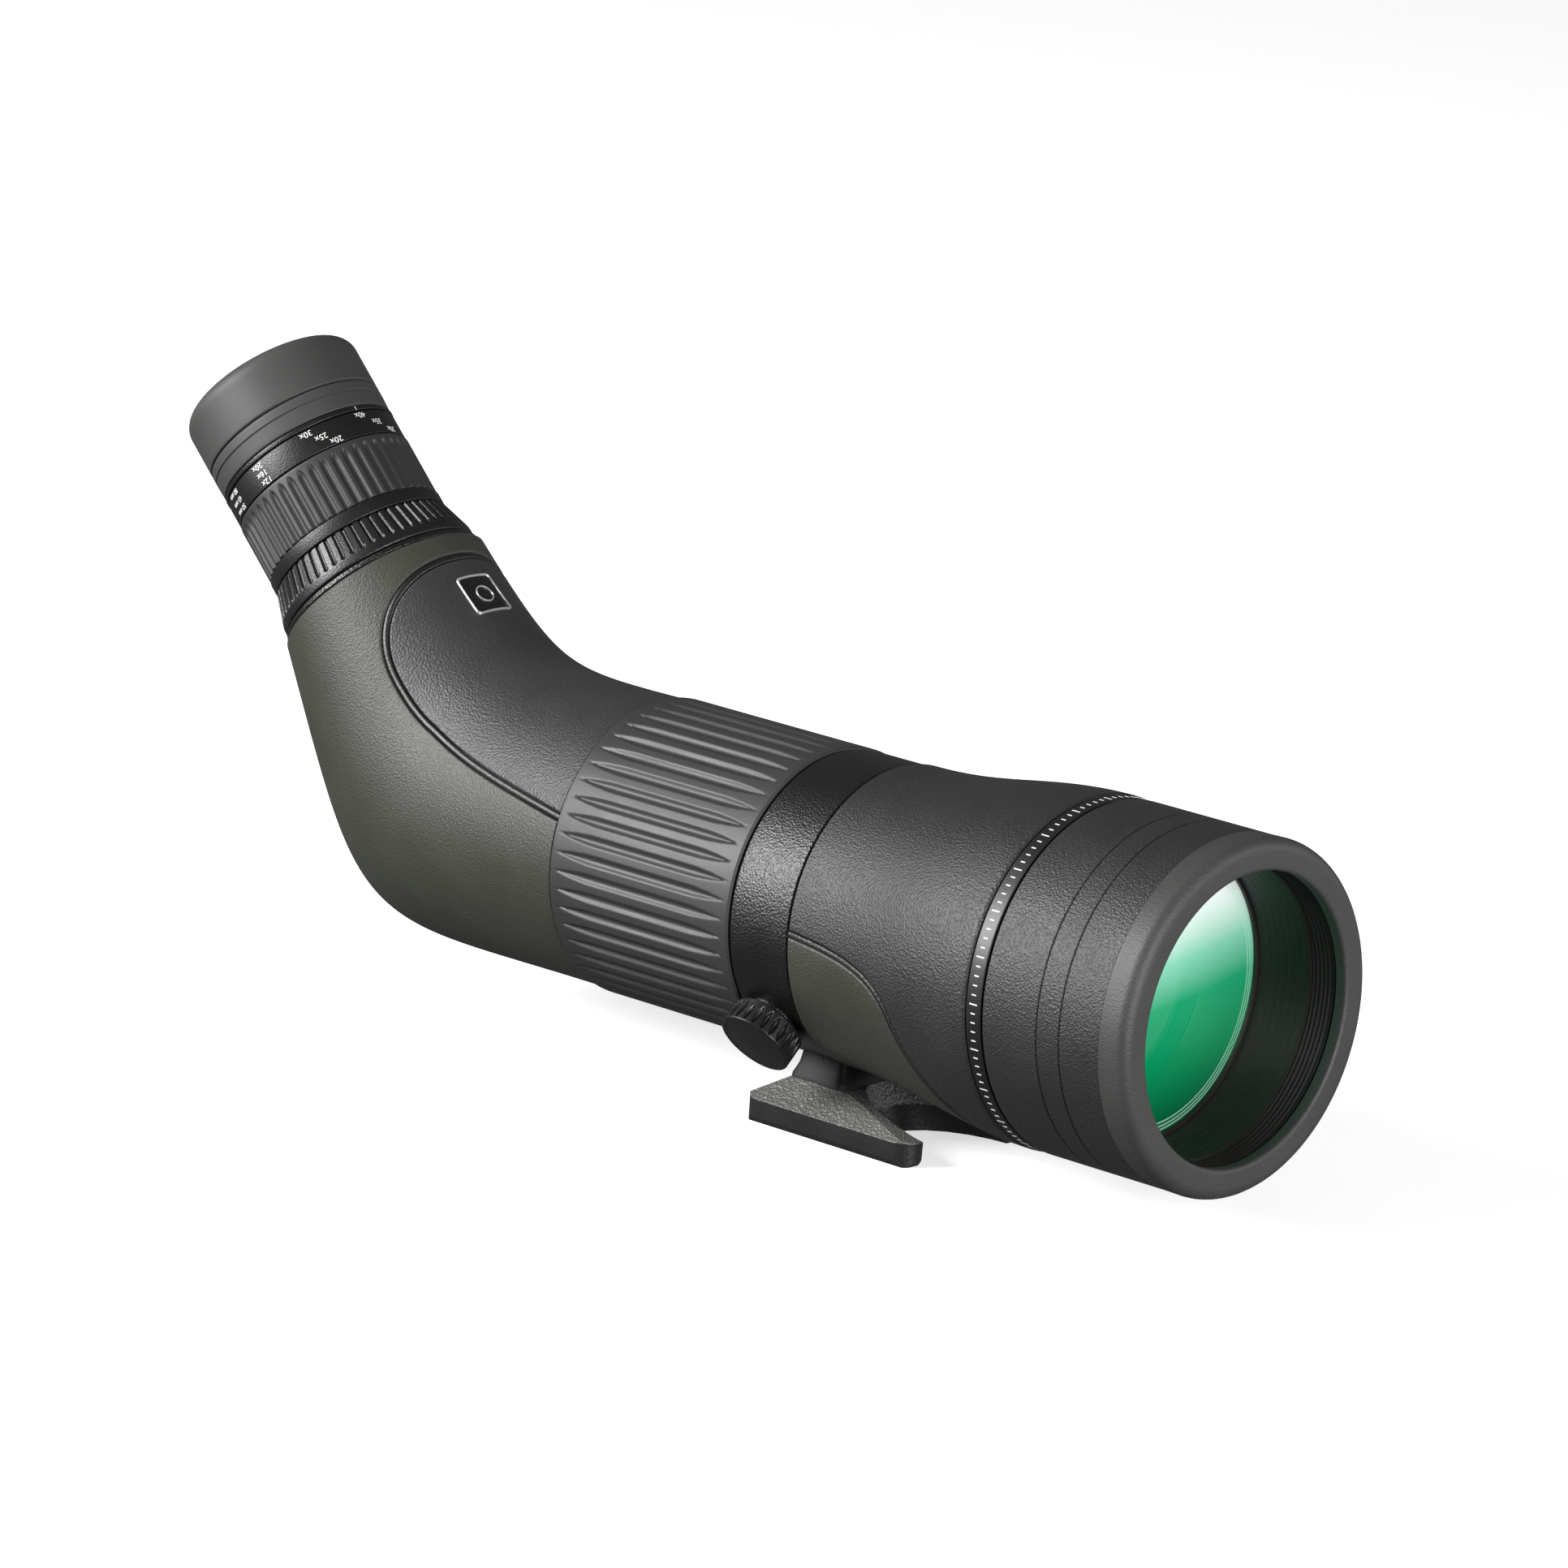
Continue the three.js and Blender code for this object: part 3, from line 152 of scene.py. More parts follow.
def rounded(corners, arcSteps=6):
    # closed outline: a corner (station, radius, fillet, cuts) becomes an arc, and the run after it is cut evenly
    arcs = []
    for i, (station, radius, fillet, _) in enumerate(corners):
        here = np.array([station, radius], float)
        before = np.array(corners[i - 1][:2], float) - here
        after = np.array(corners[(i + 1) % len(corners)][:2], float) - here
        before, after = before / np.linalg.norm(before), after / np.linalg.norm(after)
        half = math.acos(np.clip(before @ after, -1, 1)) / 2
        if not fillet:
            arcs.append(here[None])
            continue
        middle = (before + after) / np.linalg.norm(before + after)
        centre = here + middle * fillet / math.sin(half)
        start = here + before * fillet / math.tan(half) - centre
        end = here + after * fillet / math.tan(half) - centre
        sweep = math.pi - 2 * half
        share = np.linspace(0, 1, arcSteps + 1)[:, None]
        arcs.append(centre + (np.sin((1 - share) * sweep) * start + np.sin(share * sweep) * end) / math.sin(sweep))
    outline = []
    for i, arc in enumerate(arcs):
        share = np.linspace(0, 1, corners[i][3] + 1)[1:-1, None]
        outline += [arc, arc[-1] + (arcs[(i + 1) % len(arcs)][0] - arc[-1]) * share]
    return np.vstack(outline)


def onAxis(axis, station, radius, angle):
    # origin + along * station + (up * cos angle + side * sin angle) * radius; angle 0 is on top
    origin, along, up, side = (np.array(axis[k], float) for k in ("origin", "along", "up", "side"))
    across = np.cos(angle)[..., None] * up + np.sin(angle)[..., None] * side
    return origin + station[..., None] * along + radius[..., None] * across


def revolved(axis, outline, turns, relief=None):
    # an outline of (station, radius) carried round the axis; relief(station, angle, radius) changes the radius
    angle = np.linspace(0, 2 * math.pi, turns, endpoint=False)
    station, angle = np.meshgrid(outline[:, 0], angle, indexing="ij")
    radius = np.repeat(outline[:, 1:], turns, 1)
    if relief:
        radius = radius + relief(station, angle, radius)
    return onAxis(axis, station, radius, angle)


def turnedPiece(name, axis, corners, turns=144, relief=None, sharp=35, poles=False, arcSteps=6):
    outline = corners if isinstance(corners, np.ndarray) else rounded(corners, arcSteps)
    return pieceFrom(name, [(revolved(axis, outline, turns, relief), not poles, True)], sharp)


def flutes(count, depth, share, low, high, outside):
    # scoops round the outside: each is as wide as share of the pitch and narrows over its tip at both ends
    # low and high are (station, tip length, bluntness); a tip of 0 leaves that end open
    def tip(distance, length, bluntness):
        if not length:
            return np.where(distance > 0, 1.0, 0.0)
        return (1 - (1 - np.clip(distance / length, 0, 1)) ** 2) ** bluntness

    def relief(station, angle, radius):
        phase = (angle * count / (2 * math.pi)) % 1 - 0.5
        width = tip(station - low[0], *low[1:]) * tip(high[0] - station, *high[1:])
        scoop = 1 - (2 * phase / (share * np.maximum(width, 1e-6))) ** 2
        return np.where(radius > outside, -depth * np.sqrt(width) * np.clip(scoop, 0, 1) ** 0.8, 0)
    return relief


def fitted(obj, body, slot, material, *replaced):
    # rides on its body, wears the material given and stands for its CAD nodes
    obj.data.materials.clear()
    obj.data.materials.append(material)
    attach(obj, body)
    if replaced:
        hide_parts(*replaced)
    return obj


def linear(shade):
    # a 0..255 screen shade as scene light
    share = shade / 255
    return share / 12.92 if share <= 0.04045 else ((share + 0.055) / 1.055) ** 2.4


def colourOf(rgb, factor=1.0):
    return (*(min(1, linear(c) * factor) for c in rgb), 1)


look = {"detail": 3, "cell": 1.3, "slowSize": 14, "slowDetail": 4, "slowShare": 0.55, "dark": 0.3, "light": 0.65,
        "glossShift": 0.08, "coatRough": 0.15}


def setInputs(node, values):
    for name, value in values.items():
        node.inputs[name].default_value = value


def nodeMaker(tree):
    # make("Bump", {...}) adds a bump node and sets its inputs
    def make(kind, values=None):
        node = tree.nodes.new("ShaderNode" + kind)
        setInputs(node, values or {})
        return node
    return make, tree.links.new


def newMaterial(name):
    material = bpy.data.materials.new(name)
    material.use_nodes = True
    tree = material.node_tree
    return material, tree.nodes["Principled BSDF"], *nodeMaker(tree)


def surfaceFinish(name, rgb, rough, grain=0.4, height=0.03, spread=0.12, metal=0.0, coat=0.0, pebble=0.5,
                  specular=0.5):
    # fine grain (mm) raised by height (mm): pebble mixes round cells into the noise;
    # slow noise shifts colour and roughness a little, as moulding and handling do
    material, shader, make, link = newMaterial(name)
    place = make("TexCoord")
    fine = make("TexNoise", {"Scale": 1 / (grain * mm), "Detail": look["detail"]})
    cells = make("TexVoronoi", {"Scale": 1 / (grain * look["cell"] * mm), "Randomness": 1})
    slow = make("TexNoise", {"Scale": 1 / (look["slowSize"] * mm), "Detail": look["slowDetail"]})
    for texture in (fine, cells, slow):
        link(place.outputs["Object"], texture.inputs["Vector"])
    blend = make("Mix", {"Factor": pebble})
    link(fine.outputs["Fac"], blend.inputs["A"])
    link(cells.outputs["Distance"], blend.inputs["B"])
    bump = make("Bump", {"Distance": height * mm, "Strength": 1})
    link(blend.outputs["Result"], bump.inputs["Height"])
    link(bump.outputs["Normal"], shader.inputs["Normal"])
    tone = make("Mix", {"Factor": look["slowShare"]})
    link(blend.outputs["Result"], tone.inputs["A"])
    link(slow.outputs["Fac"], tone.inputs["B"])
    shades = make("ValToRGB")
    ends = ((look["dark"], 1 - spread), (look["light"], 1 + spread))
    for element, (position, factor) in zip(shades.color_ramp.elements, ends):
        element.position = position
        element.color = colourOf(rgb, factor)
    link(tone.outputs["Result"], shades.inputs["Fac"])
    link(shades.outputs["Color"], shader.inputs["Base Color"])
    shift = look["glossShift"]
    gloss = make("MapRange", {"To Min": max(0.02, rough - shift), "To Max": min(1, rough + shift)})
    link(slow.outputs["Fac"], gloss.inputs["Value"])
    link(gloss.outputs["Result"], shader.inputs["Roughness"])
    setInputs(shader, {"Metallic": metal, "Specular IOR Level": specular, "Coat Weight": coat,
                       "Coat Roughness": look["coatRough"]})
    return material


# name, screen colour, roughness, grain, height, spread
greenArmor = surfaceFinish("green_armor", (50, 52, 45), 0.5, 0.38, 0.18, pebble=0.4)
charcoalArmor = surfaceFinish("charcoal_armor", (36, 36, 36), 0.48, 0.42, 0.25, pebble=0.45)
leatherPanel = surfaceFinish("grained_panel", (44, 44, 44), 0.48, 0.42, 0.18, pebble=0.6)
gripRubber = surfaceFinish("grip_rubber", (44, 45, 44), 0.52, 0.3, 0.03, 0.06)
cupRubber = surfaceFinish("cup_rubber", (58, 58, 57), 0.6, 0.3, 0.02, 0.05)
knobRubber = surfaceFinish("knob_rubber", (22, 22, 21), 0.4, 0.3, 0.03, 0.06)
cracklePaint = surfaceFinish("crackle_paint", (12, 12, 12), 0.39, 0.42, 0.17, 0.2, pebble=0.6)
satinBlack = surfaceFinish("satin_black", (17, 17, 17), 0.4, 0.3, 0.07, 0.15)
glossTrim = surfaceFinish("trim", (17, 17, 17), 0.46, 0.5, 0.02, 0.1)
smoothMetal = surfaceFinish("smooth_dark_metal", (40, 40, 39), 0.45, 0.3, 0.03, 0.08)
# the foot's light grey stands for its lit top facet: a painted highlight
castPaintWithPaintedLight = surfaceFinish("cast_paint_painted_light", (88, 88, 86), 0.34, 0.62, 0.5, 0.25, pebble=0.55)
lipRubber = surfaceFinish("lip_rubber", (56, 56, 55), 0.55, 0.4, 0.1, 0.08)
neckPaint = surfaceFinish("neck_paint", (10, 10, 10), 0.6, 0.4, 0.06, 0.1, specular=0.3)
boreBlack = surfaceFinish("bore_black", (24, 21, 19), 0.45, 0.3, 0.02, 0.15)
deadBlack = surfaceFinish("dead_black", (7, 7, 8), 0.62, 0.3, 0.01, 0.2, specular=0.3)
whiteInk = surfaceFinish("white_ink", (225, 226, 222), 0.55, 0.2, 0.004, 0.05)
brightRim = surfaceFinish("bright_rim", (205, 207, 206), 0.3, 0.4, 0.004, 0.06, metal=0.7)
bareMetal = surfaceFinish("bare_metal", (150, 152, 155), 0.35, 0.3, 0.006, 0.1, metal=1)
darkSteel = surfaceFinish("dark_steel", (80, 82, 86), 0.32, 0.3, 0.006, 0.12, metal=1)
brassMetal = surfaceFinish("brass", (186, 150, 88), 0.32, 0.3, 0.006, 0.1, metal=1)


# the lens coating's green with painted light on it: the pale top end of the stops is a painted reflection, the
# rings are painted highlights near the edge, and glow is a painted glow
coatingAndPaintedReflection = {"radius": 33.6, "across": 0.5, "sideways": -0.06, "highlightRings": (0.905, 0.935, 0.962), "highlightRingHalf": 0.008,
           "highlightRingLevel": 0.8, "highlightRingTint": (190, 235, 214), "rough": 0.04, "specular": 0.6, "clearRough": 0.02,
           "clearIor": 1.9, "glow": 0.14,
           "stops": ((0.05, (0, 86, 52)), (0.26, (0, 132, 82)), (0.46, (24, 156, 106)), (0.6, (128, 204, 176)),
                     (0.73, (220, 240, 232)), (0.81, (250, 252, 251)))}


def glassWithPaintedReflection(name, highlightRings):
    # painted reflection: the colour runs from the coating's deep green at the foot to a pale painted reflection at
    # the top, with thin painted highlight rings near the edge, and the same colours glow faintly as painted light
    material, shader, make, link = newMaterial(name)
    place = make("TexCoord")
    centre = make("Mapping", {"Location": (0, 0, -axisHeight / coatingAndPaintedReflection["radius"]),
                              "Scale": (1 / (coatingAndPaintedReflection["radius"] * mm),) * 3})
    link(place.outputs["Object"], centre.inputs["Vector"])
    parts = make("SeparateXYZ")
    link(centre.outputs["Vector"], parts.inputs["Vector"])

    def maths(kind, a, b):
        node = make("Math")
        node.operation = kind
        for socket, value in zip(node.inputs, (a, b)):
            if isinstance(value, (int, float)):
                socket.default_value = value
            else:
                link(value, socket)
        return node.outputs["Value"]

    # painted reflection: the colour turns pale higher up the lens and a little towards -Y
    lean = maths("ADD", maths("MULTIPLY", parts.outputs["Z"], coatingAndPaintedReflection["across"]),
                 maths("MULTIPLY", parts.outputs["Y"], coatingAndPaintedReflection["sideways"]))
    tintAndReflectionRamp = make("ValToRGB")
    elements, stops = tintAndReflectionRamp.color_ramp.elements, coatingAndPaintedReflection["stops"]
    for end in (0, -1):
        elements[end].position = stops[end][0]
        elements[end].color = colourOf(stops[end][1])
    for position, rgb in stops[1:-1]:
        elements.new(position).color = colourOf(rgb)
    link(maths("ADD", lean, 0.5), tintAndReflectionRamp.inputs["Fac"])
    flat = maths("ADD", maths("MULTIPLY", parts.outputs["Y"], parts.outputs["Y"]),
                 maths("MULTIPLY", parts.outputs["Z"], parts.outputs["Z"]))
    reach = maths("SQRT", flat, 0)
    lines = make("ValToRGB")
    lines.color_ramp.elements[1].color = (0, 0, 0, 1)
    half, level = coatingAndPaintedReflection["highlightRingHalf"], coatingAndPaintedReflection["highlightRingLevel"]
    # painted highlights: thin bright rings near the lens edge
    for middle in highlightRings:
        for offset, value in ((-half, 0), (0, level), (half, 0)):
            lines.color_ramp.elements.new(middle + offset).color = (value, value, value, 1)
    link(reach, lines.inputs["Fac"])
    mix = make("Mix")
    mix.data_type = "RGBA"
    link(lines.outputs["Color"], mix.inputs["Factor"])
    link(tintAndReflectionRamp.outputs["Color"], mix.inputs["A"])
    setInputs(mix, {"B": colourOf(coatingAndPaintedReflection["highlightRingTint"])})
    link(mix.outputs["Result"], shader.inputs["Base Color"])
    # the lens colour also drives the emission: a painted glow, not a lamp
    link(tintAndReflectionRamp.outputs["Color"], shader.inputs["Emission Color"])
    setInputs(shader, {"Roughness": coatingAndPaintedReflection["rough"], "Specular IOR Level": coatingAndPaintedReflection["specular"], "Coat Weight": 1,
                       "Coat Roughness": coatingAndPaintedReflection["clearRough"], "Coat IOR": coatingAndPaintedReflection["clearIor"],
                       "Emission Strength": coatingAndPaintedReflection["glow"]})
    return material


# both lens finishes carry the painted reflection and the painted glow; the inner one has no painted rings
frontCoatingAndReflection = glassWithPaintedReflection("front_coating_painted_reflection", coatingAndPaintedReflection["highlightRings"])
innerCoatingAndReflection = glassWithPaintedReflection("inner_coating_painted_reflection", ())
print("finishes ready")


def ringCorners(at, *outside):
    # a ring's section: inner corners from the CAD ring, and the corners outside given
    return [(at["start"], at["inner"], 0, 1), *outside, (at["end"], at["inner"], 0, 1)]


def plainRing(name, node, axis, body, slot, material, fillet, turns=128):
    # a ring with the CAD ring's own stations and radii, its outer corners rounded
    at = span(node, axis)
    corners = ringCorners(at, (at["start"], at["outer"], fillet, 1), (at["end"], at["outer"], fillet, 1))
    return fitted(turnedPiece(name, axis, corners, turns), body, slot, material, node)


cupAt = span("eyecup", eyeAxis)
eyecup = {"lipFillet": 4, "opening": 15, "openingFillet": 1.2, "wall": 1.4, "depth": 3.2, "rubber": 1.6,
          "edge": 0.45, "gap": 0.3, "sleeveWall": 2, "seamAt": 0.62, "seamHalf": 0.25, "seamDepth": 0.3,
          "step": 0.15}


def makeEyecup():
    top, low, wide = cupAt["end"], cupAt["start"], cupAt["outer"]
    inside, floor, edge = wide - eyecup["rubber"], top - eyecup["depth"], eyecup["edge"]
    corners = [(low, inside, 0, 1), (low, wide, edge, 10), (top, wide, eyecup["lipFillet"], 3),
               (top, eyecup["opening"], eyecup["openingFillet"], 2),
               (floor, eyecup["opening"] + eyecup["wall"], 0.3, 1), (floor, inside, 0, 1)]
    fitted(turnedPiece("eyecup_rubber", eyeAxis, corners, 144, arcSteps=9), "eyecup", "grey_rubber",
           cupRubber, "eyecup")
    sleeve = span("eyecup_sleeve", eyeAxis)
    joint, inside, half = low - eyecup["gap"], wide - eyecup["sleeveWall"], eyecup["seamHalf"]
    seam = sleeve["start"] + (joint - sleeve["start"]) * eyecup["seamAt"]
    corners = [(sleeve["start"], sleeve["inner"], 0, 1), (sleeve["start"], wide - eyecup["step"], 0.4, 3),
               (seam - half, wide, 0, 1), (seam, wide - eyecup["seamDepth"], 0, 1), (seam + half, wide, 0, 3),
               (joint, wide, edge, 1), (joint, inside, 0, 1), (sleeve["end"], inside, 0, 1),
               (sleeve["end"], sleeve["inner"], 0, 1)]
    fitted(turnedPiece("eyecup_collar", eyeAxis, corners, 144), "eyecup", "grey_rubber", cupRubber,
           "eyecup_sleeve")


makeEyecup()
plainRing("index_rim", "index_ring", eyeAxis, "scope_body", "black_plastic", satinBlack, 0.25)
plainRing("scale_dial", "scale_ring", eyeAxis, "zoom_ring", "black_plastic", satinBlack, 0.2)
plainRing("smooth_band", "eyepiece_band", eyeAxis, "scope_body", "black_plastic", satinBlack, 0.25)
plainRing("lens_retainer_ring", "eye_lens_retainer", eyeAxis, "scope_body", "black_plastic", satinBlack, 0.4)

grip = {"count": 48, "depth": 0.75, "share": 0.62, "upperMargin": 1.5, "tip": 2.0}


def makeZoomGrip():
    at = span("zoom_grip", eyeAxis)
    relief = flutes(grip["count"], grip["depth"], grip["share"], (at["start"] - 0.1, 0, 1),
                    (at["end"] - grip["upperMargin"], grip["tip"], 0.5), at["outer"] - 1)
    corners = ringCorners(at, (at["start"], at["outer"], 0.3, 34), (at["end"], at["outer"], 0.45, 1))
    fitted(turnedPiece("zoom_grip_rubber", eyeAxis, corners, grip["count"] * 14, relief, sharp=50),
           "zoom_ring", "grey_rubber", gripRubber, "zoom_grip")


makeZoomGrip()
lock = {"count": 60, "depth": 0.7, "share": 0.5, "lowerMargin": 2.2, "tip": 1.6, "shoulder": 25.0}


def makeLockRing():
    # the ring flares downwards; its grooves start open at the top and end round above a smooth foot
    at = span("eyepiece_lock_ring", eyeAxis)
    top = span("eyepiece_band", eyeAxis)["outer"] + 0.1
    relief = flutes(lock["count"], lock["depth"], lock["share"],
                    (at["start"] + lock["lowerMargin"], lock["tip"], 0.5), (at["end"] + 0.1, 0, 1), top - 1)
    corners = [(at["start"], at["inner"] + 2, 0, 1), (at["start"], at["outer"] - 0.1, 0.5, 2),
               (at["start"] + lock["lowerMargin"], lock["shoulder"], 2, 22), (at["end"], top, 0.35, 1),
               (at["end"], at["inner"], 0, 1)]
    fitted(turnedPiece("lock_ring_ribbed", eyeAxis, corners, lock["count"] * 12, relief, sharp=50),
           "lock_ring", "black_plastic", satinBlack, "eyepiece_lock_ring")


makeLockRing()
seat = {"flange": 1.5, "spigotWall": 1.8, "draft": 0.2}


def makeSeatRing():
    at = span("eyepiece_seat_ring", eyeAxis)
    face, spigot = at["end"] - seat["flange"], at["inner"] + seat["spigotWall"]
    corners = ringCorners(at, (at["start"], spigot, 0, 1), (face, spigot, 0, 1), (face, at["outer"], 0.4, 2),
                          (at["end"], at["outer"] - seat["draft"], 0.5, 1))
    fitted(turnedPiece("neck_seat_ring", eyeAxis, corners, 144), "scope_body", "black_metal", cracklePaint,
           "eyepiece_seat_ring")


makeSeatRing()
eyeCoating = surfaceFinish("eye_coating", (18, 30, 34), 0.06, 3, 0.0, 0.3, coat=1.0)
eyeLens = {"front": 0.6, "back": 1.4}  # how far each face bulges


def makeEyeLens():
    # a shallow dome over the lens edge, closed at both poles
    at = span("eye_lens", eyeAxis)
    share = np.linspace(0, 1, 14)
    radius = at["outer"] * share
    top = np.stack([at["end"] - eyeLens["back"] * share ** 2, radius], 1)
    low = np.stack([at["start"] + eyeLens["front"] * share[::-1] ** 2, radius[::-1]], 1)
    fitted(turnedPiece("eye_lens_glass", eyeAxis, np.vstack([top, low]), 96, poles=True), "scope_body",
           "coated_glass", eyeCoating, "eye_lens")


makeEyeLens()


ink = 0.03  # thickness of printed marks


def wrapped(name, text, size, station, degrees, axis, radius, material, body, upright=-1):
    # a number laid round a ring: its width runs round the axis and its height along it
    curve = bpy.data.curves.new(name, "FONT")
    curve.body = text
    curve.size = size
    curve.align_x, curve.align_y = "CENTER", "CENTER"
    curve.resolution_u = 3
    curve.extrude = ink
    made = addObject(name, curve)
    bpy.context.view_layer.update()
    mesh = bpy.data.meshes.new_from_object(made)
    bpy.data.objects.remove(made)
    flat = coordinates(mesh)
    angle = math.radians(degrees) - upright * flat[:, 0] / radius
    points = onAxis(axis, station + upright * flat[:, 1], radius + ink + flat[:, 2], angle)
    mesh.vertices.foreach_set("co", (points * mm).ravel())
    mesh.update()
    return fitted(addObject(name, mesh), body, "black_plastic", material)


scaleAt = span("scale_ring", eyeAxis)
dial = {"size": 2.1, "rows": (4.9, 2.7, 0.6), "lift": 0.45, "objectives": (80, 65, 50),
        "stops": {3: (40, 35, 30), 42: (30, 25, 20), 79: (20, 16, 12)}, "slant": 11, "legend": 110,
        "legendSize": 0.85, "markSize": 1.5, "markAngle": 3.8}


def makeDial():
    # three powers for each stop, one for each objective size, each row a little further round
    levels = [scaleAt["start"] + row + dial["lift"] for row in dial["rows"]]
    around = (eyeAxis, scaleAt["outer"], whiteInk, "zoom_ring")
    for stop, powers in dial["stops"].items():
        lean = dial["slant"] * (1 if stop < 60 else 0.1)
        for row, power in enumerate(powers):
            wrapped(f"power_{power}_at_{stop}", f"{power}x", dial["size"], levels[row],
                    stop - row * lean * (0.7 if stop > 20 else 1), *around)
    for level, objective in zip(levels, dial["objectives"]):
        wrapped(f"legend_{objective}", f"{objective} mm", dial["size"] * dial["legendSize"], level, dial["legend"],
                *around)
    rim = span("index_ring", eyeAxis)
    wrapped("index_mark", "I", dial["markSize"], (rim["start"] + rim["end"]) / 2, dial["markAngle"], eyeAxis,
            rim["outer"], whiteInk, "scope_body")


makeDial()
print("eyepiece ready")

# the rear body runs from the focus ring up to the neck
bodyFront = span("focus_ring_core", mainAxis)["start"] - 0.3
neckHeight = span("eyepiece_seat_ring", eyeAxis)["end"] - 1.8
shape = {"front": 34.6, "neck": 26.3, "heelReach": (86.4, 74.2), "heelAngle": 63, "crookReach": (38.8, 38.5),
         "crookAngle": 42.4, "waist": (30.1, 31.5), "thickness": 1.6}


def bezier(points, share):
    # cubic through its first and last point, pulled by the two between
    a, b, c, d = (np.array(p, float) for p in points)
    s = np.asarray(share, float)[..., None]
    return (1 - s) ** 3 * a + 3 * (1 - s) ** 2 * s * b + 3 * (1 - s) * s * s * c + s ** 3 * d


def sideLine(side, reach, degrees):
    # the side view's heel or crook line, from the front circle to the neck circle
    back, out = np.array(eyeAxis["along"])[[0, 2]], np.array(eyeAxis["up"])[[0, 2]]
    start = np.array([bodyFront, side * shape["front"]])
    end = np.array([crossing, 0]) + back * neckHeight + out * side * shape["neck"]
    lean = np.array([math.cos(math.radians(degrees)), -math.sin(math.radians(degrees))])
    return [start, start - [reach[0], 0], end + lean * reach[1], end]


heelLine = sideLine(-1, shape["heelReach"], shape["heelAngle"])
crookLine = sideLine(1, shape["crookReach"], shape["crookAngle"])
widthLine = [[shape["front"]], [shape["waist"][0]], [shape["waist"][1]], [shape["neck"]]]


def bodySurface(along, angle, depth):
    # ovals from heel to crook, wider or taller as the lines ask, drawn in by depth; angle 0 is the crook
    along, angle, depth = np.broadcast_arrays(along, angle, depth)
    low, high = bezier(heelLine, along), bezier(crookLine, along)
    middle, up = (low + high) / 2, (high - low) / 2
    tall = np.linalg.norm(up, axis=-1)
    rise = (tall - depth) * np.cos(angle) / tall
    wide = (bezier(widthLine, along)[..., 0] - depth) * np.sin(angle)
    height = axisHeight + middle[..., 1] + up[..., 1] * rise
    return np.stack([middle[..., 0] + up[..., 0] * rise, -wide, height], -1)


# the inlay's waist and what is added at the front in degrees, then shares of the way from the front to the neck
panel = {"waist": 59.5, "extra": 12.5, "rest": 0.5, "nose": 0.7, "tip": 0.95, "lengthPower": 3.5,
         "widthPower": 2.6}


def panelBorder(count=400):
    # half angle of the inlay: wide at the front, easing to its waist, closing in a superellipse nose
    nose = panel["nose"]
    plain = np.linspace(0, nose, count)
    turn = np.linspace(0, math.pi / 2, count)[1:]
    along = np.concatenate([plain, nose + (panel["tip"] - nose) * np.sin(turn) ** (2 / panel["lengthPower"])])
    wide = panel["waist"] + panel["extra"] * np.clip(1 - along / panel["rest"], 0, 1) ** 1.5
    wide[count:] *= np.cos(turn) ** (2 / panel["widthPower"])
    wide[-1] = 0
    return along, np.radians(wide)


def evenBorder(surface, border, rows):
    # the border resampled to even steps of its length on the surface
    along, angle = border
    points = surface(along, angle, 0)
    length = np.concatenate([[0], np.cumsum(np.linalg.norm(np.diff(points, axis=0), axis=1))])
    even = np.linspace(0, length[-1], rows)
    return np.interp(even, length, along), np.interp(even, length, angle)


def offsetBorder(surface, border, distance):
    # the border moved over the surface, square to itself: positive distance is away from the inlay
    along, angle = border
    tiny = 1e-4
    here = surface(along, angle, 0)
    tangentA = (surface(along + tiny, angle, 0) - surface(along - tiny, angle, 0)) / (2 * tiny)
    tangentB = (surface(along, angle + tiny, 0) - surface(along, angle - tiny, 0)) / (2 * tiny)
    course = np.gradient(here, axis=0)
    course[-1] = tangentB[-1] * -np.sign(np.nanmax(angle))
    course /= np.linalg.norm(course, axis=1)[:, None]
    normal = np.cross(tangentA, tangentB)
    normal /= np.linalg.norm(normal, axis=1)[:, None]
    away = np.cross(normal, course)
    away *= np.sign((away * tangentB).sum(1) + (away * tangentA).sum(1) * (angle < 1e-6))[:, None]
    aa, ab, bb = (tangentA ** 2).sum(1), (tangentA * tangentB).sum(1), (tangentB ** 2).sum(1)
    pa, pb = (away * tangentA).sum(1), (away * tangentB).sum(1)
    det = aa * bb - ab * ab
    moveA = (pa * bb - pb * ab) / det * distance
    moveB = (pb * aa - pa * ab) / det * distance
    newAlong, newAngle = along + moveA, np.maximum(angle + moveB, 0)
    newAlong[0], newAngle[-1] = along[0], 0
    return newAlong, newAngle


edgeSteps = np.array([[0, 0.5], [0.08, 0.25], [0.2, 0.1], [0.4, 0.02], [0.6, 0]])  # distance from an edge, depth


def edgeColumns(surface, border, away, first, thickness):
    # columns along one border: the buried edge, then the roll up to the surface
    sign = 1 if away else -1
    columns = [(first, thickness)] + [(first + d, h) for d, h in edgeSteps]
    places = [offsetBorder(surface, border, sign * d) for d, _ in columns]
    along = np.stack([p[0] for p in places], 1)
    angle = np.stack([p[1] for p in places], 1)
    depth = np.repeat(np.array([[h for _, h in columns]]), len(along), 0)
    return along, angle, depth


def endEdge(along, angle, depth, thickness):
    # buries the first row and rolls it up to the surface beside the next ring
    roll = [np.full_like(depth[:1], thickness), np.maximum(depth[:1], 0.35), np.maximum(depth[:1], 0.1)]
    step = (along[1:2] - along[:1]) * 0.4
    return (np.vstack([along[:1], along[:1], along[:1] + step * 0.5, along[:1] + step, along[1:]]),
            np.vstack([angle[:1]] * 4 + [angle[1:]]),
            np.vstack(roll + [depth[:1], depth[1:]]))


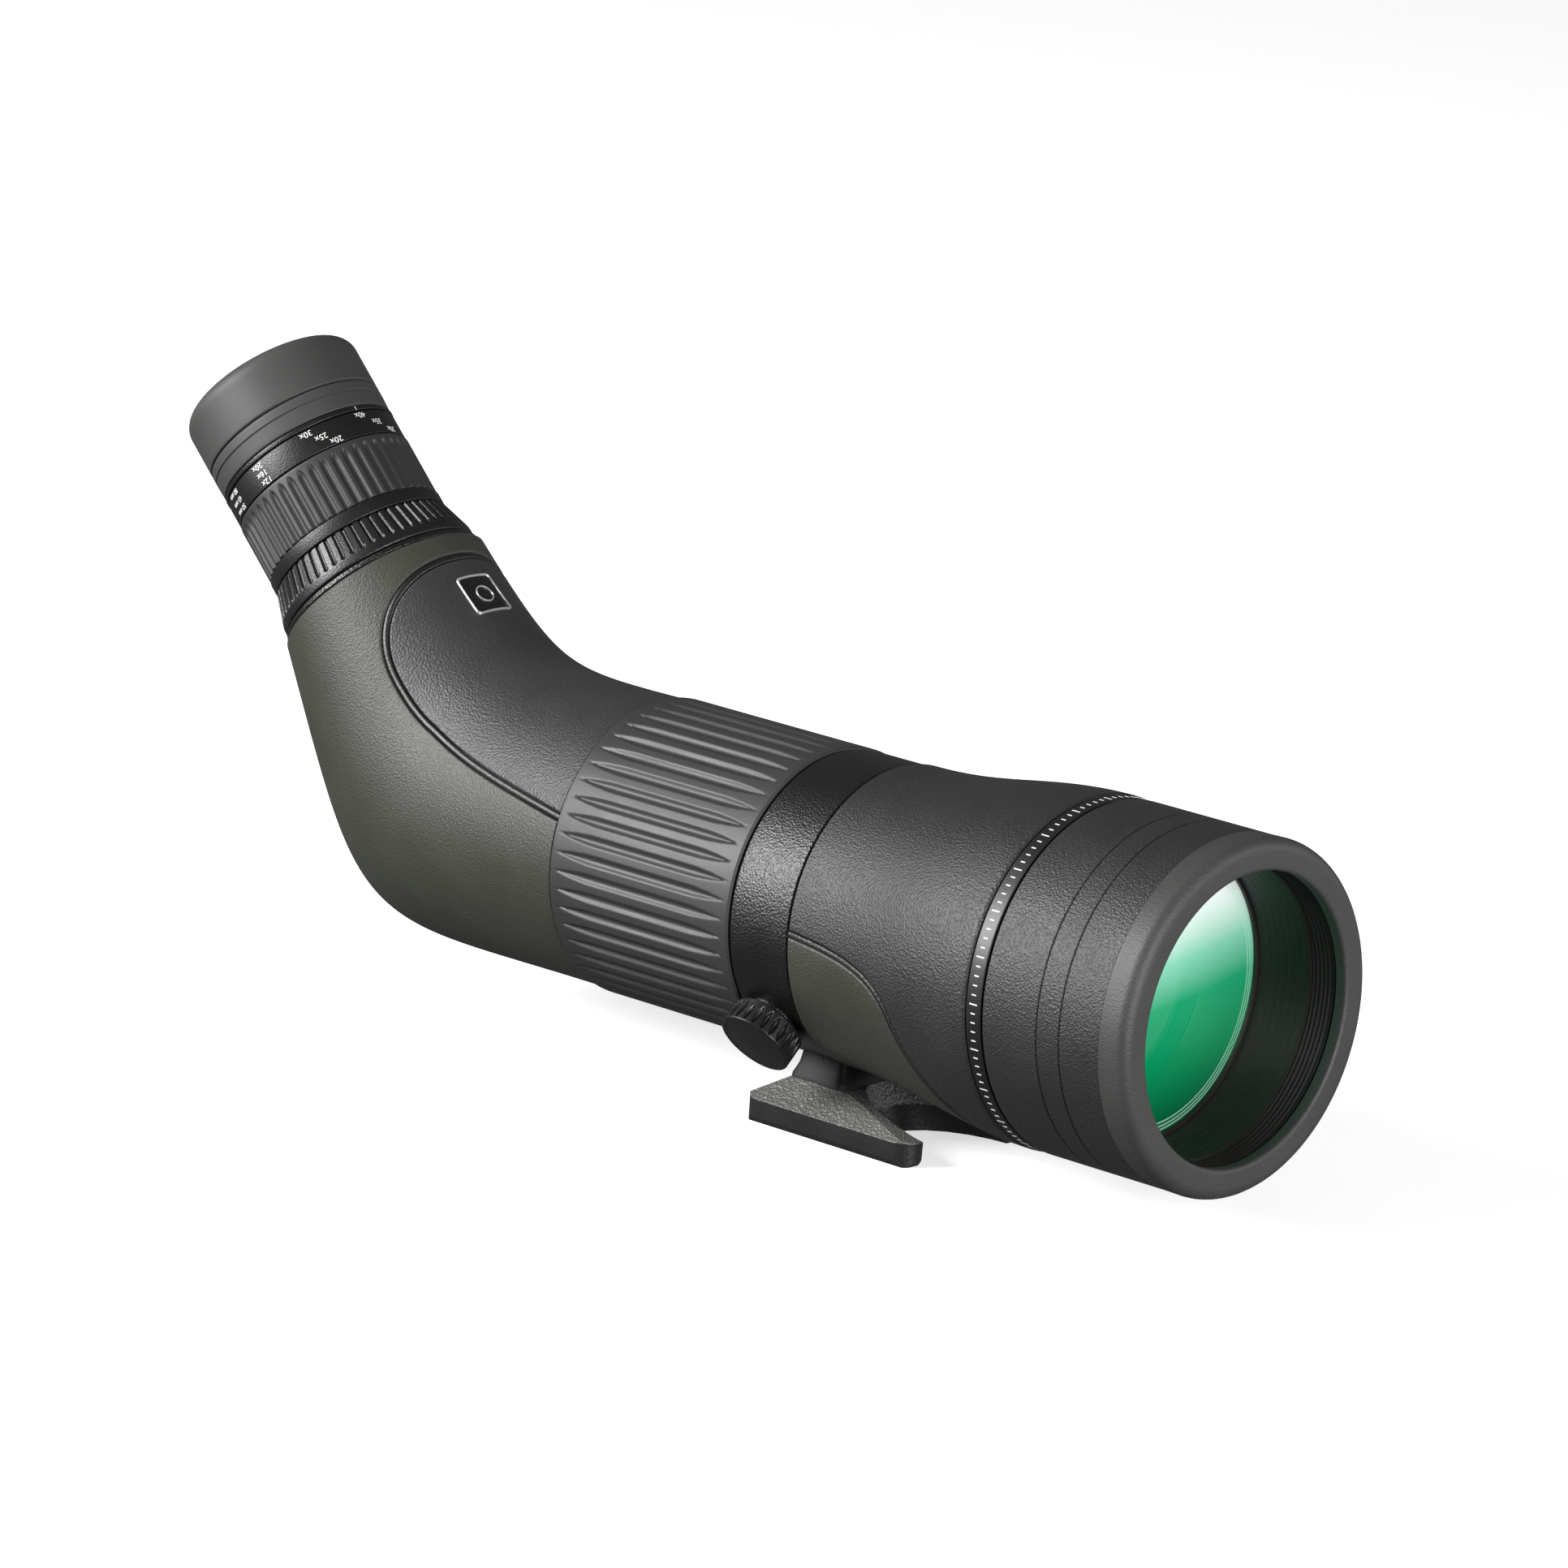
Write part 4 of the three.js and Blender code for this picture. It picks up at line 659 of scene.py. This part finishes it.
def shellRows(surface, border, away, first, thickness, between, turn):
    # rows from one side's edge to the other's, out over the surface and back along the inside
    along, angle, depth = edgeColumns(surface, border, away, first, thickness)
    nose, middle = along[-1, -1], between(angle[:, -1:])
    along = np.hstack([along, np.repeat(along[:, -1:], middle.shape[1], 1), along[:, ::-1]])
    angle = np.hstack([angle, middle, turn - angle[:, ::-1]])
    depth = np.hstack([depth, np.zeros_like(middle), depth[:, ::-1]])
    along, angle, depth = endEdge(along, angle, depth, thickness)
    outer, inner = surface(along, angle, depth), surface(along, angle, thickness)
    return np.concatenate([outer, inner[:, ::-1]], 1), nose


def inlay(name, surface, border, first, thickness, columns=60):
    # the piece inside the border: rows cross it from one side to the other and close at its nose
    share = np.linspace(1, -1, columns)[1:-1]
    rows, _ = shellRows(surface, border, False, first, thickness, lambda edge: edge * share, 0)
    return pieceFrom(name, [(rows, False, True)])


def surround(name, surface, border, first, thickness, far, columns=120, endRows=24):
    # the piece outside the border: rows run round the far side, and whole rings follow past the nose
    turn = 2 * math.pi
    share = np.linspace(0, 1, columns)[1:-1]
    rows, nose = shellRows(surface, border, True, first, thickness,
                           lambda edge: edge + (turn - 2 * edge) * share, turn)
    ringAngle = turn * np.linspace(0, 1, columns)[None]
    ringAlong = nose + (far - nose) * np.linspace(0, 1, endRows)[:, None]
    close = np.concatenate([ringAlong, ringAlong[-1:]])
    outerDepth = np.concatenate([np.zeros(endRows), [thickness]])[:, None]
    outerDepth[-2] = 0.3
    outer = surface(close, ringAngle, outerDepth)
    inner = surface(ringAlong, ringAngle, thickness)
    return pieceFrom(name, [(rows, False, True), (outer, False, False), (inner, False, False)])


bead = {"start": 0.25, "width": 1.4, "dome": 0.08, "sunk": 0.3}
borderRows = 220
bodyBorder = evenBorder(bodySurface, panelBorder(), borderRows)


def borderBead(name, surface, border, spec, thickness):
    # a slim strip laid along the border, domed across, from one side round the nose to the other
    across = np.linspace(0, 1, 7)
    distances = -(spec["start"] + spec["width"] * np.concatenate([[0], across, [1]]))
    arch = spec["sunk"] - (spec["sunk"] - spec["dome"]) * np.sin(math.pi * across) ** 0.6
    heights = np.concatenate([[thickness], arch, [thickness]])
    places = [offsetBorder(surface, border, d) for d in distances]
    along = np.stack([p[0] for p in places], 1)
    angle = np.stack([p[1] for p in places], 1)
    along = np.vstack([along, along[-2::-1]])
    angle = np.vstack([angle, -angle[-2::-1]])
    depth = np.repeat(heights[None], len(along), 0)
    points = surface(along, angle, depth)
    ends = [surface(along[i], angle[i], thickness)[None] for i in (0, -1)]
    return pieceFrom(name, [(np.concatenate([ends[0], points, ends[1]]), False, True)])


thick = shape["thickness"]
fitted(surround("body_shell", bodySurface, bodyBorder, 0, thick, 1.0), "scope_body", "green_armor", greenArmor,
       "body_armor")
fitted(inlay("crook_panel", bodySurface, bodyBorder, bead["start"] * 2 + bead["width"], thick), "scope_body",
       "grained_panel", leatherPanel, "top_panel")
fitted(borderBead("panel_bead", bodySurface, bodyBorder, bead, thick), "scope_body", "black_plastic", satinBlack)

badge = {"along": 0.815, "half": 5.5, "corner": 1.1, "rim": 0.5, "rimWidth": 0.5, "ring": 2.4, "ringWidth": 0.35,
         "field": 0.22}


def badgeOutline(half, fillet):
    # a square with round corners about the badge's middle
    return rounded([(half, half, fillet, 9), (-half, half, fillet, 9), (-half, -half, fillet, 9),
                    (half, -half, fillet, 9)])


def onBadge(across, lengthwise, height):
    # a place on the badge, which follows the crook's own curve: across runs along Y
    middle = badge["along"]
    slope = np.linalg.norm(bodySurface(middle + 1e-3, 0, 0) - bodySurface(middle - 1e-3, 0, 0)) / 2e-3
    wide = bezier(widthLine, middle)[0]
    return bodySurface(middle + lengthwise / slope, across / wide, -height)


def makeBadge():
    # a dark plate, its outline drawn in towards the middle, and two bright beads: a square one and a round one
    edge = badgeOutline(badge["half"] - 0.02, badge["corner"])
    shares = np.array([0, 0.3, 0.6, 0.85, 0.95, 0.985, 1, 1, 0.5, 0])[:, None]
    heights = np.array([1, 1, 1, 1, 1, 0.9, 0.4, -1.5, -1.5, -1.5])[:, None] * badge["field"]
    plate = pieceFrom("badge_field", [(onBadge(edge[:, 0] * shares, edge[:, 1] * shares, heights), False, True)])
    fitted(plate, "scope_body", "black_plastic", satinBlack, "badge_plate")
    turn = np.linspace(0, 2 * math.pi, 72, endpoint=False)
    circle = badge["ring"] * np.stack([np.cos(turn), np.sin(turn)], 1)
    section = np.array([[1, -1], [1, 0.7], [0.8, 1], [0.2, 1], [0, 0.7], [0, -1]])
    for name, outside, width, size in (("badge_rim", edge, badge["rimWidth"], badge["half"]),
                                       ("badge_ring", circle, badge["ringWidth"], badge["ring"])):
        share = 1 - (1 - section[:, :1]) * width / size
        strip = onBadge(outside[:, 0] * share, outside[:, 1] * share, badge["rim"] * section[:, 1:])
        fitted(pieceFrom(name, [(strip, True, True)]), "scope_body", "badge_metal", brightRim)


makeBadge()
print("rear body ready")

focus = {"count": 50, "depth": 0.72, "share": 0.5, "margin": 2.2, "tip": 11, "fillet": 0.6}


def makeFocusRing():
    at = span("focus_grip", mainAxis)
    relief = flutes(focus["count"], focus["depth"], focus["share"],
                    (at["start"] + focus["margin"], focus["tip"], 1),
                    (at["end"] - focus["margin"], focus["tip"], 1), at["outer"] - 1)
    corners = ringCorners(at, (at["start"], at["outer"], focus["fillet"], 64),
                          (at["end"], at["outer"], focus["fillet"], 1))
    fitted(turnedPiece("focus_grip_rubber", mainAxis, corners, focus["count"] * 14, relief, sharp=60),
           "focus_ring", "grey_rubber", gripRubber, "focus_grip")


makeFocusRing()
print("focus ring ready")

collarBox = [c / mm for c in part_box("tripod_collar")]
linerAt = span("collar_liner", mainAxis)
collar = {"outer": 34.9, "fillet": 0.5, "gap": 0.3, "boss": 6.5, "neckHalf": 13, "neckInset": 0.4, "neckTop": 24,
          "squareness": 9, "neckHeights": (0, 0, 0.05, 0.12, 0.22, 0.36, 0.55, 0.8, 1.0, 1.0),
          "neckWidths": (0, 1, 0.99, 0.94, 0.88, 0.84, 0.82, 0.82, 0.82, 0)}


def makeCollar():
    rear, front = collarBox[0].x, collarBox[1].x
    inside = linerAt["outer"] + collar["gap"]
    corners = [(rear, inside, 0, 1), (rear, collar["outer"], collar["fillet"], 8),
               (front, collar["outer"], collar["fillet"], 1), (front, inside, 0, 1)]
    fitted(turnedPiece("collar_band", mainAxis, corners, 180), "tripod_mount", "black_metal", cracklePaint,
           "tripod_collar")
    # neck: a plan with round corners carried up from the foot into the band, flared at the foot
    turn = np.linspace(0, 2 * math.pi, 96, endpoint=False)
    power = 2 / collar["squareness"]
    plan = [np.sign(f(turn)) * np.abs(f(turn)) ** power for f in (np.cos, np.sin)]
    middle = (rear + front) / 2
    halfLength = (front - rear) / 2 - collar["neckInset"]
    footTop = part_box("tripod_foot")[1].z / mm
    width = np.array(collar["neckWidths"])[:, None]
    level = footTop + 0.05 + (axisHeight - collar["neckTop"] - footTop) * np.array(collar["neckHeights"])
    points = np.stack([middle + width * plan[0] * halfLength, width * plan[1] * collar["neckHalf"],
                       np.repeat(level[:, None], len(turn), 1)], -1)
    fitted(pieceFrom("collar_neck", [(points, False, True)], sharp=40), "tripod_mount", "black_metal", neckPaint)


makeCollar()

knob = {"below": 40, "radius": 9, "flutes": 24, "depth": 0.85, "share": 0.62, "tip": 2.6, "dome": 0.5,
        "bevel": 0.8, "bore": 3.4, "boreDepth": 3, "bossGap": 0.3}
knobDown = math.radians(knob["below"])
knobBox = [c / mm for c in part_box("collar_knob")]
knobAxis = {"origin": ((knobBox[0].x + knobBox[1].x) / 2, 0, axisHeight),
            "along": (0, -math.cos(knobDown), -math.sin(knobDown)), "up": (1, 0, 0),
            "side": (0, math.sin(knobDown), -math.cos(knobDown))}


def makeKnob():
    # a fluted barrel with a smooth, slightly domed face, closed at its poles
    at = span("collar_knob", knobAxis)
    base, face, wide = at["start"], at["end"], knob["radius"]
    side = rounded([(base, knob["bore"], 0, 1), (base, wide - 0.3, 0.6, 20), (face - knob["bevel"], wide, 0.3, 2),
                    (face - knob["dome"], wide - 1.1, 0.3, 1)], 5)
    share = np.linspace(1, 0, 10)
    dome = np.stack([face - knob["dome"] * share ** 2 - 0.15, (wide - 1.35) * share], 1)
    floor = face - knob["boreDepth"]
    outline = np.vstack([[(floor, 0), (floor, knob["bore"])], side[:-1], dome])
    relief = flutes(knob["flutes"], knob["depth"], knob["share"], (base + 0.9, knob["tip"], 1),
                    (face - knob["bevel"] - 0.2, knob["tip"], 1), wide - 0.9)
    obj = turnedPiece("clamp_knob", knobAxis, outline, knob["flutes"] * 12, relief, sharp=45, poles=True)
    fitted(obj, "knob", "grey_rubber", knobRubber, "collar_knob")
    # boss under the knob
    low, high = linerAt["outer"] + 1, base - knob["bossGap"]
    corners = [(low, 1, 0, 1), (low, collar["boss"], 0, 2), (high, collar["boss"], 0.3, 1), (high, 1, 0, 1)]
    fitted(turnedPiece("knob_boss", knobAxis, corners, 64), "tripod_mount", "black_metal", cracklePaint)


makeKnob()


def bevelledCopy(name, node, body, slot, material, width=0.35, segments=3):
    # the CAD solid with its doubles merged, its flat faces whole again and its edges rounded
    mesh = nodes[node].data.copy()
    mesh.name = name
    work = bmesh.new()
    work.from_mesh(mesh)
    bmesh.ops.remove_doubles(work, verts=work.verts, dist=weld["merge"])
    bmesh.ops.dissolve_limit(work, angle_limit=math.radians(1), verts=work.verts, edges=work.edges)
    work.to_mesh(mesh)
    work.free()
    obj = addObject(name, mesh)
    bevel = obj.modifiers.new("bevel", "BEVEL")
    bevel.width = width * mm
    bevel.segments = segments
    bevel.limit_method = "ANGLE"
    bevel.angle_limit = math.radians(22)
    bevel.use_clamp_overlap = True
    finishSmooth(mesh, 32)
    return fitted(obj, body, slot, material, node)


# the near-black side colour is painted shade on the foot's sides
foot = {"shoulder": 5.6, "blend": 0.15, "edge": 0.12, "paintedShadeRgb": (9, 9, 9)}


def paintShadeOnSides(material, spec):
    # painted light and shade: above the shoulder the cast paint stays light and rough, a painted highlight for the
    # lit top facet; below it the sides are smooth and painted near black as painted shade
    make, link = nodeMaker(material.node_tree)
    shader = material.node_tree.nodes["Principled BSDF"]
    place, parts = make("TexCoord"), make("SeparateXYZ")
    above = make("MapRange", {"From Min": (spec["shoulder"] - spec["blend"]) * mm,
                              "From Max": (spec["shoulder"] + spec["blend"]) * mm, "To Min": spec["edge"]})
    link(place.outputs["Object"], parts.inputs["Vector"])
    link(parts.outputs["Z"], above.inputs["Value"])
    link(above.outputs["Result"], shader.inputs["Normal"].links[0].from_node.inputs["Strength"])
    colour = shader.inputs["Base Color"].links[0].from_socket
    mix = make("Mix")
    mix.data_type = "RGBA"
    setInputs(mix, {"A": colourOf(spec["paintedShadeRgb"])})
    link(above.outputs["Result"], mix.inputs["Factor"])
    link(colour, mix.inputs["B"])
    link(mix.outputs["Result"], shader.inputs["Base Color"])


paintShadeOnSides(castPaintWithPaintedLight, foot)
bevelledCopy("quick_release_foot", "tripod_foot", "tripod_mount", "black_metal", castPaintWithPaintedLight)
print("tripod mount ready")

armorAt = span("objective_armor", mainAxis)
flare = {"rear": 35.3, "front": 41, "rearHandle": 26, "frontHandle": 22, "thickness": 1.6}
collarFront = collarBox[1].x + 0.3
bandAt = span("marking_band", mainAxis)


def flareRadius(station):
    # S-curve from the collar to the marking band
    share = np.linspace(0, 1, 200)
    last = bandAt["start"]
    line = bezier([[collarFront, flare["rear"]], [collarFront + flare["rearHandle"], flare["rear"]],
                   [last - flare["frontHandle"], flare["front"]], [last, flare["front"]]], share)
    return np.interp(station, line[:, 0], line[:, 1])


def objectiveSurface(along, angle, depth):
    # round sections along the main axis; angle 0 is underneath and grows towards -Y
    along, angle, depth = np.broadcast_arrays(along, angle, depth)
    return onAxis(mainAxis, along.astype(float), flareRadius(along) - depth, math.pi - angle)


# the lower cover's edge: distance ahead of the collar, and degrees up from underneath
cover = {"start": 93.5, "rear": ((20, 90.5), (29.5, 88), (34.2, 73)),
         "front": ((34.2, 73), (38.9, 58), (52, 26), (52, 0))}


def coverBorder(count=200):
    # half angle of the lower cover: level behind, sweeping down to a round nose under the front
    share = np.linspace(0, 1, count)
    rear, front = ([(collarFront + ahead, angle) for ahead, angle in cover[part]] for part in ("rear", "front"))
    line = np.vstack([bezier([(armorAt["start"], cover["start"])] + rear, share), bezier(front, share)[1:]])
    return line[:, 0], np.radians(line[:, 1])


coverBead = {"start": 0.25, "width": 1.1, "dome": 0.05, "sunk": 0.3}
objectiveBorder = evenBorder(objectiveSurface, coverBorder(), 160)
armorThick = flare["thickness"]
fitted(surround("objective_shell", objectiveSurface, objectiveBorder, 0, armorThick, armorAt["end"], 130, 12),
       "scope_body", "charcoal_armor", charcoalArmor, "objective_armor")
coverFirst = coverBead["start"] * 2 + coverBead["width"]
fitted(inlay("lower_cover", objectiveSurface, objectiveBorder, coverFirst, armorThick), "scope_body",
       "green_armor", greenArmor, "objective_lower_cover")
fitted(borderBead("cover_bead", objectiveSurface, objectiveBorder, coverBead, armorThick), "scope_body",
       "charcoal_armor", charcoalArmor)

plainRing("front_band", "marking_band", mainAxis, "scope_body", "black_plastic", glossTrim, 0.25, 192)
ticks = {"step": 3, "tall": 2.2, "short": 1.2, "width": 0.3, "every": 5, "height": 0.05}


def capOf(corners):
    # four corners in a ring as a two by two grid
    return np.array([[corners[0], corners[1]], [corners[3], corners[2]]])


def makeBandTicks():
    # a plain run of white marks round the band, a longer one every fifth
    middle = (bandAt["start"] + bandAt["end"]) / 2
    count = 360 // ticks["step"]
    number = np.arange(count)
    tall = np.where(number % ticks["every"] == 0, ticks["tall"], ticks["short"])
    centre = np.radians(number * ticks["step"])
    half = ticks["width"] / 2 / bandAt["outer"]
    radii = bandAt["outer"] + ticks["height"] * np.array([-1, 1])
    grids = []
    for i in range(count):
        station = middle + tall[i] / 2 * np.array([[-1, 1, 1, -1], [-1, 1, 1, -1]])
        angle = centre[i] + half * np.array([[-1, -1, 1, 1], [-1, -1, 1, 1]])
        walls = onAxis(mainAxis, station, np.repeat(radii[:, None], 4, 1), angle)
        grids.append((walls, False, True))
        grids += [(capOf(walls[k]), False, False) for k in (0, 1)]
    fitted(pieceFrom("band_marks", grids), "scope_body", "black_plastic", whiteInk)


makeBandTicks()

shade = {"seams": (78.6, 85.2), "seamDepth": 0.32, "seamHalf": 0.3, "overlap": 0.25, "lipFillet": 3.0,
         "mouthFillet": 0.9, "gap": 0.3}


def makeSunshade():
    at = span("sunshade_armor", mainAxis)
    corners = [(at["start"], at["inner"], 0, 1), (at["start"], at["outer"], 0.5, 4)]
    for seam in shade["seams"]:
        corners += [(seam - shade["seamHalf"], at["outer"], 0, 1), (seam, at["outer"] - shade["seamDepth"], 0, 1),
                    (seam + shade["seamHalf"], at["outer"], 0, 4)]
    front = at["end"] + shade["overlap"]
    corners += [(front, at["outer"], 0.05, 1), (front, at["inner"], 0, 1)]
    fitted(turnedPiece("sunshade_sleeve", mainAxis, corners, 192), "sunshade", "charcoal_armor", charcoalArmor,
           "sunshade_armor")
    lip = span("sunshade_lip", mainAxis)
    tube = span("sunshade_tube", mainAxis)
    gap = shade["gap"]
    back, seat = tube["end"] + gap, tube["outer"] + gap
    corners = [(lip["start"], seat, 0, 1), (lip["start"], at["outer"], 0.05, 3),
               (lip["end"], lip["outer"], shade["lipFillet"], 3),
               (lip["end"], lip["inner"], shade["mouthFillet"], 2),
               (back, lip["inner"] + gap, 0.2, 1), (back, seat, 0, 1)]
    fitted(turnedPiece("sunshade_mouth", mainAxis, corners, 192, arcSteps=9), "sunshade", "grey_rubber",
           lipRubber, "sunshade_lip")
    plainRing("sunshade_slide_tube", "sunshade_tube", mainAxis, "sunshade", "black_metal", boreBlack, 0.2, 144)


makeSunshade()
plainRing("friction_band", "sunshade_friction_ring", mainAxis, "scope_body", "grey_rubber", gripRubber, 0.2, 144)

thread = {"pitch": 1.2, "depth": 0.42, "crest": -0.15}
bore = {"pitch": 0.6, "depth": 0.16}


def saw(station, spec):
    # even ridges along a bore, 0 to the depth
    return spec["depth"] * np.abs(((station / spec["pitch"]) % 1) * 2 - 1)


def makeThreads():
    at = span("filter_ring", mainAxis)
    station = np.linspace(at["end"], at["start"], 60)
    inner = np.stack([station, at["inner"] + thread["crest"] + saw(station, thread)], 1)
    outline = np.vstack([[(at["start"], at["outer"]), (at["end"], at["outer"])], inner])
    fitted(turnedPiece("filter_thread", mainAxis, outline, 144, sharp=60), "scope_body", "inner_black", boreBlack,
           "filter_ring")


makeThreads()
carrier = {"skin": 2.3, "wall": 2.5, "gap": 0.3, "lipAt": 2.2, "lipWidth": 1.2, "lipHeight": 0.5, "cellLength": 22,
           "coneFrom": 24, "coneTo": 14, "throat": 27.5, "throatFrom": 6, "throatTo": 4, "tailWall": 2.3}


def makeObjectiveTube():
    # the carrying tube: flared outside, with a finely grooved black bore ahead of the lens
    at = span("objective_tube", mainAxis)
    lensAt, ringAt = span("front_lens", mainAxis), span("filter_ring", mainAxis)
    rear, shoulder, core = at["start"], bandAt["end"], ringAt["outer"]
    station = np.linspace(rear, shoulder, 16)
    outside = np.stack([station, flareRadius(station) - carrier["skin"]], 1)
    boreFrom, boreTo = ringAt["start"] - carrier["gap"], lensAt["end"] - carrier["lipAt"]
    room, lipRadius = lensAt["outer"] + carrier["gap"], lensAt["outer"] - carrier["lipHeight"]
    run = np.linspace(boreFrom, boreTo, 110)
    inside = np.stack([run, room - saw(run, bore)], 1)
    lipRear = boreTo - carrier["lipWidth"]
    lip = [(boreTo, lipRadius), (lipRear, lipRadius), (lipRear, room), (boreTo - carrier["cellLength"], room)]
    station = np.linspace(boreTo - carrier["coneFrom"], rear + carrier["coneTo"], 8)
    cone = np.minimum(flareRadius(station) - carrier["skin"] - carrier["wall"], lensAt["outer"])
    back = np.stack([station, cone], 1)
    low, high = rear + carrier["throatTo"], at["inner"] + carrier["tailWall"]
    tail = [(rear + carrier["throatFrom"], carrier["throat"]), (low, carrier["throat"]), (low, high), (rear, high)]
    outline = np.vstack([outside, [(shoulder, core), (boreFrom, core)], inside, lip, back, tail])
    fitted(turnedPiece("objective_carrier", mainAxis, outline, 144, sharp=60), "scope_body", "black_metal",
           boreBlack, "objective_tube")


makeObjectiveTube()
frontLens = {"dome": 3, "bevel": 0.5}


def makeFrontLens():
    # dome in front, hollow behind, with a small ground bevel at the edge; closed at both poles
    at = span("front_lens", mainAxis)
    edge = at["end"] - frontLens["dome"]
    share = np.linspace(0, 1, 40)
    face = np.stack([edge + frontLens["dome"] * (1 - share ** 2), (at["outer"] - frontLens["bevel"]) * share], 1)
    rear = np.stack([at["start"] + 1 - share[::-1] ** 2, at["outer"] * share[::-1]], 1)
    outline = np.vstack([face, [(edge - frontLens["bevel"], at["outer"])], rear])
    fitted(turnedPiece("objective_lens", mainAxis, outline, 144, sharp=40, poles=True), "scope_body",
           "coated_glass", frontCoatingAndReflection, "front_lens")


makeFrontLens()
print("objective end ready")

# finishes of the CAD nodes that still show; any other is satin black
shownFinishes = (
    (darkSteel, "knob_screw foot_screw_left foot_screw_right focus_pin zoom_drive_pin prism_clamp_screw_left "
                "prism_clamp_screw_right"),
    (brassMetal, "thread_insert zoom_cam_tube"), (bareMetal, "main_tube prism_carrier prism_clamp"),
    (smoothMetal, "prism_housing eyepiece_barrel"),
    (deadBlack, "focus_cell lens_spacer lens_retainer baffle_ring zoom_front_cell zoom_rear_cell field_stop"),
    (innerCoatingAndReflection, "focus_lens rear_lens prism zoom_front_lens zoom_rear_lens"),
)
nodeFinishes = {node: finish for finish, names in shownFinishes for node in names.split()}
for node, obj in nodes.items():
    if not obj.hide_render:
        obj.data.materials.clear()
        obj.data.materials.append(nodeFinishes.get(node, satinBlack))
print("carried parts finished:", sum(not o.hide_render for o in nodes.values()))

studio = {"floorHalf": 8, "floorGlow": 0.62, "world": 0.13}
lights = {"key": ((-0.95, -1.2, 0.74), (-0.04, 0, 0.07), (0.8, 0.7), 54),
          "front_fill": ((1.7, -0.45, 0.35), (0.05, 0, 0.07), (0.8, 0.8), 38),
          "lens_card": ((1.3, 1.3, 0.36), (0.08, 0, 0.05), (1.1, 0.4), 7)}  # place, target, size, power


def makeFloor():
    mesh = bpy.data.meshes.new("floor")
    half = studio["floorHalf"]
    mesh.from_pydata([(-half, -half, 0), (half, -half, 0), (half, half, 0), (-half, half, 0)], [], [(0, 1, 2, 3)])
    floor = addObject("floor", mesh)
    floor.data.materials.append(surfaceFinish("pale_floor", (245, 245, 245), 0.8, 5, 0.0, 0.01))
    floor.visible_diffuse = floor.visible_glossy = False  # the scope stays dark from below, as over a light table
    glow = floor.data.materials[0].node_tree.nodes["Principled BSDF"]
    setInputs(glow, {"Emission Color": (1, 1, 1, 1), "Emission Strength": studio["floorGlow"]})


def areaLight(name, place, target, size, power):
    # a soft box at place, facing target
    data = bpy.data.lights.new(name, "AREA")
    data.shape = "RECTANGLE"
    data.size, data.size_y = size
    data.energy = power
    light = addObject(name, data)
    light.location = place
    light.rotation_mode = "QUATERNION"
    light.rotation_quaternion = (Vector(target) - Vector(place)).to_track_quat("-Z", "Y")


makeFloor()
for name, spec in lights.items():
    areaLight(name, *spec)
world = bpy.data.worlds.new("studio")
world.use_nodes = True
setInputs(world.node_tree.nodes["Background"], {"Color": (1, 1, 1, 1), "Strength": studio["world"]})
bpy.context.scene.world = world
bpy.context.scene.view_settings.view_transform = "Standard"
print("floor and lights ready")
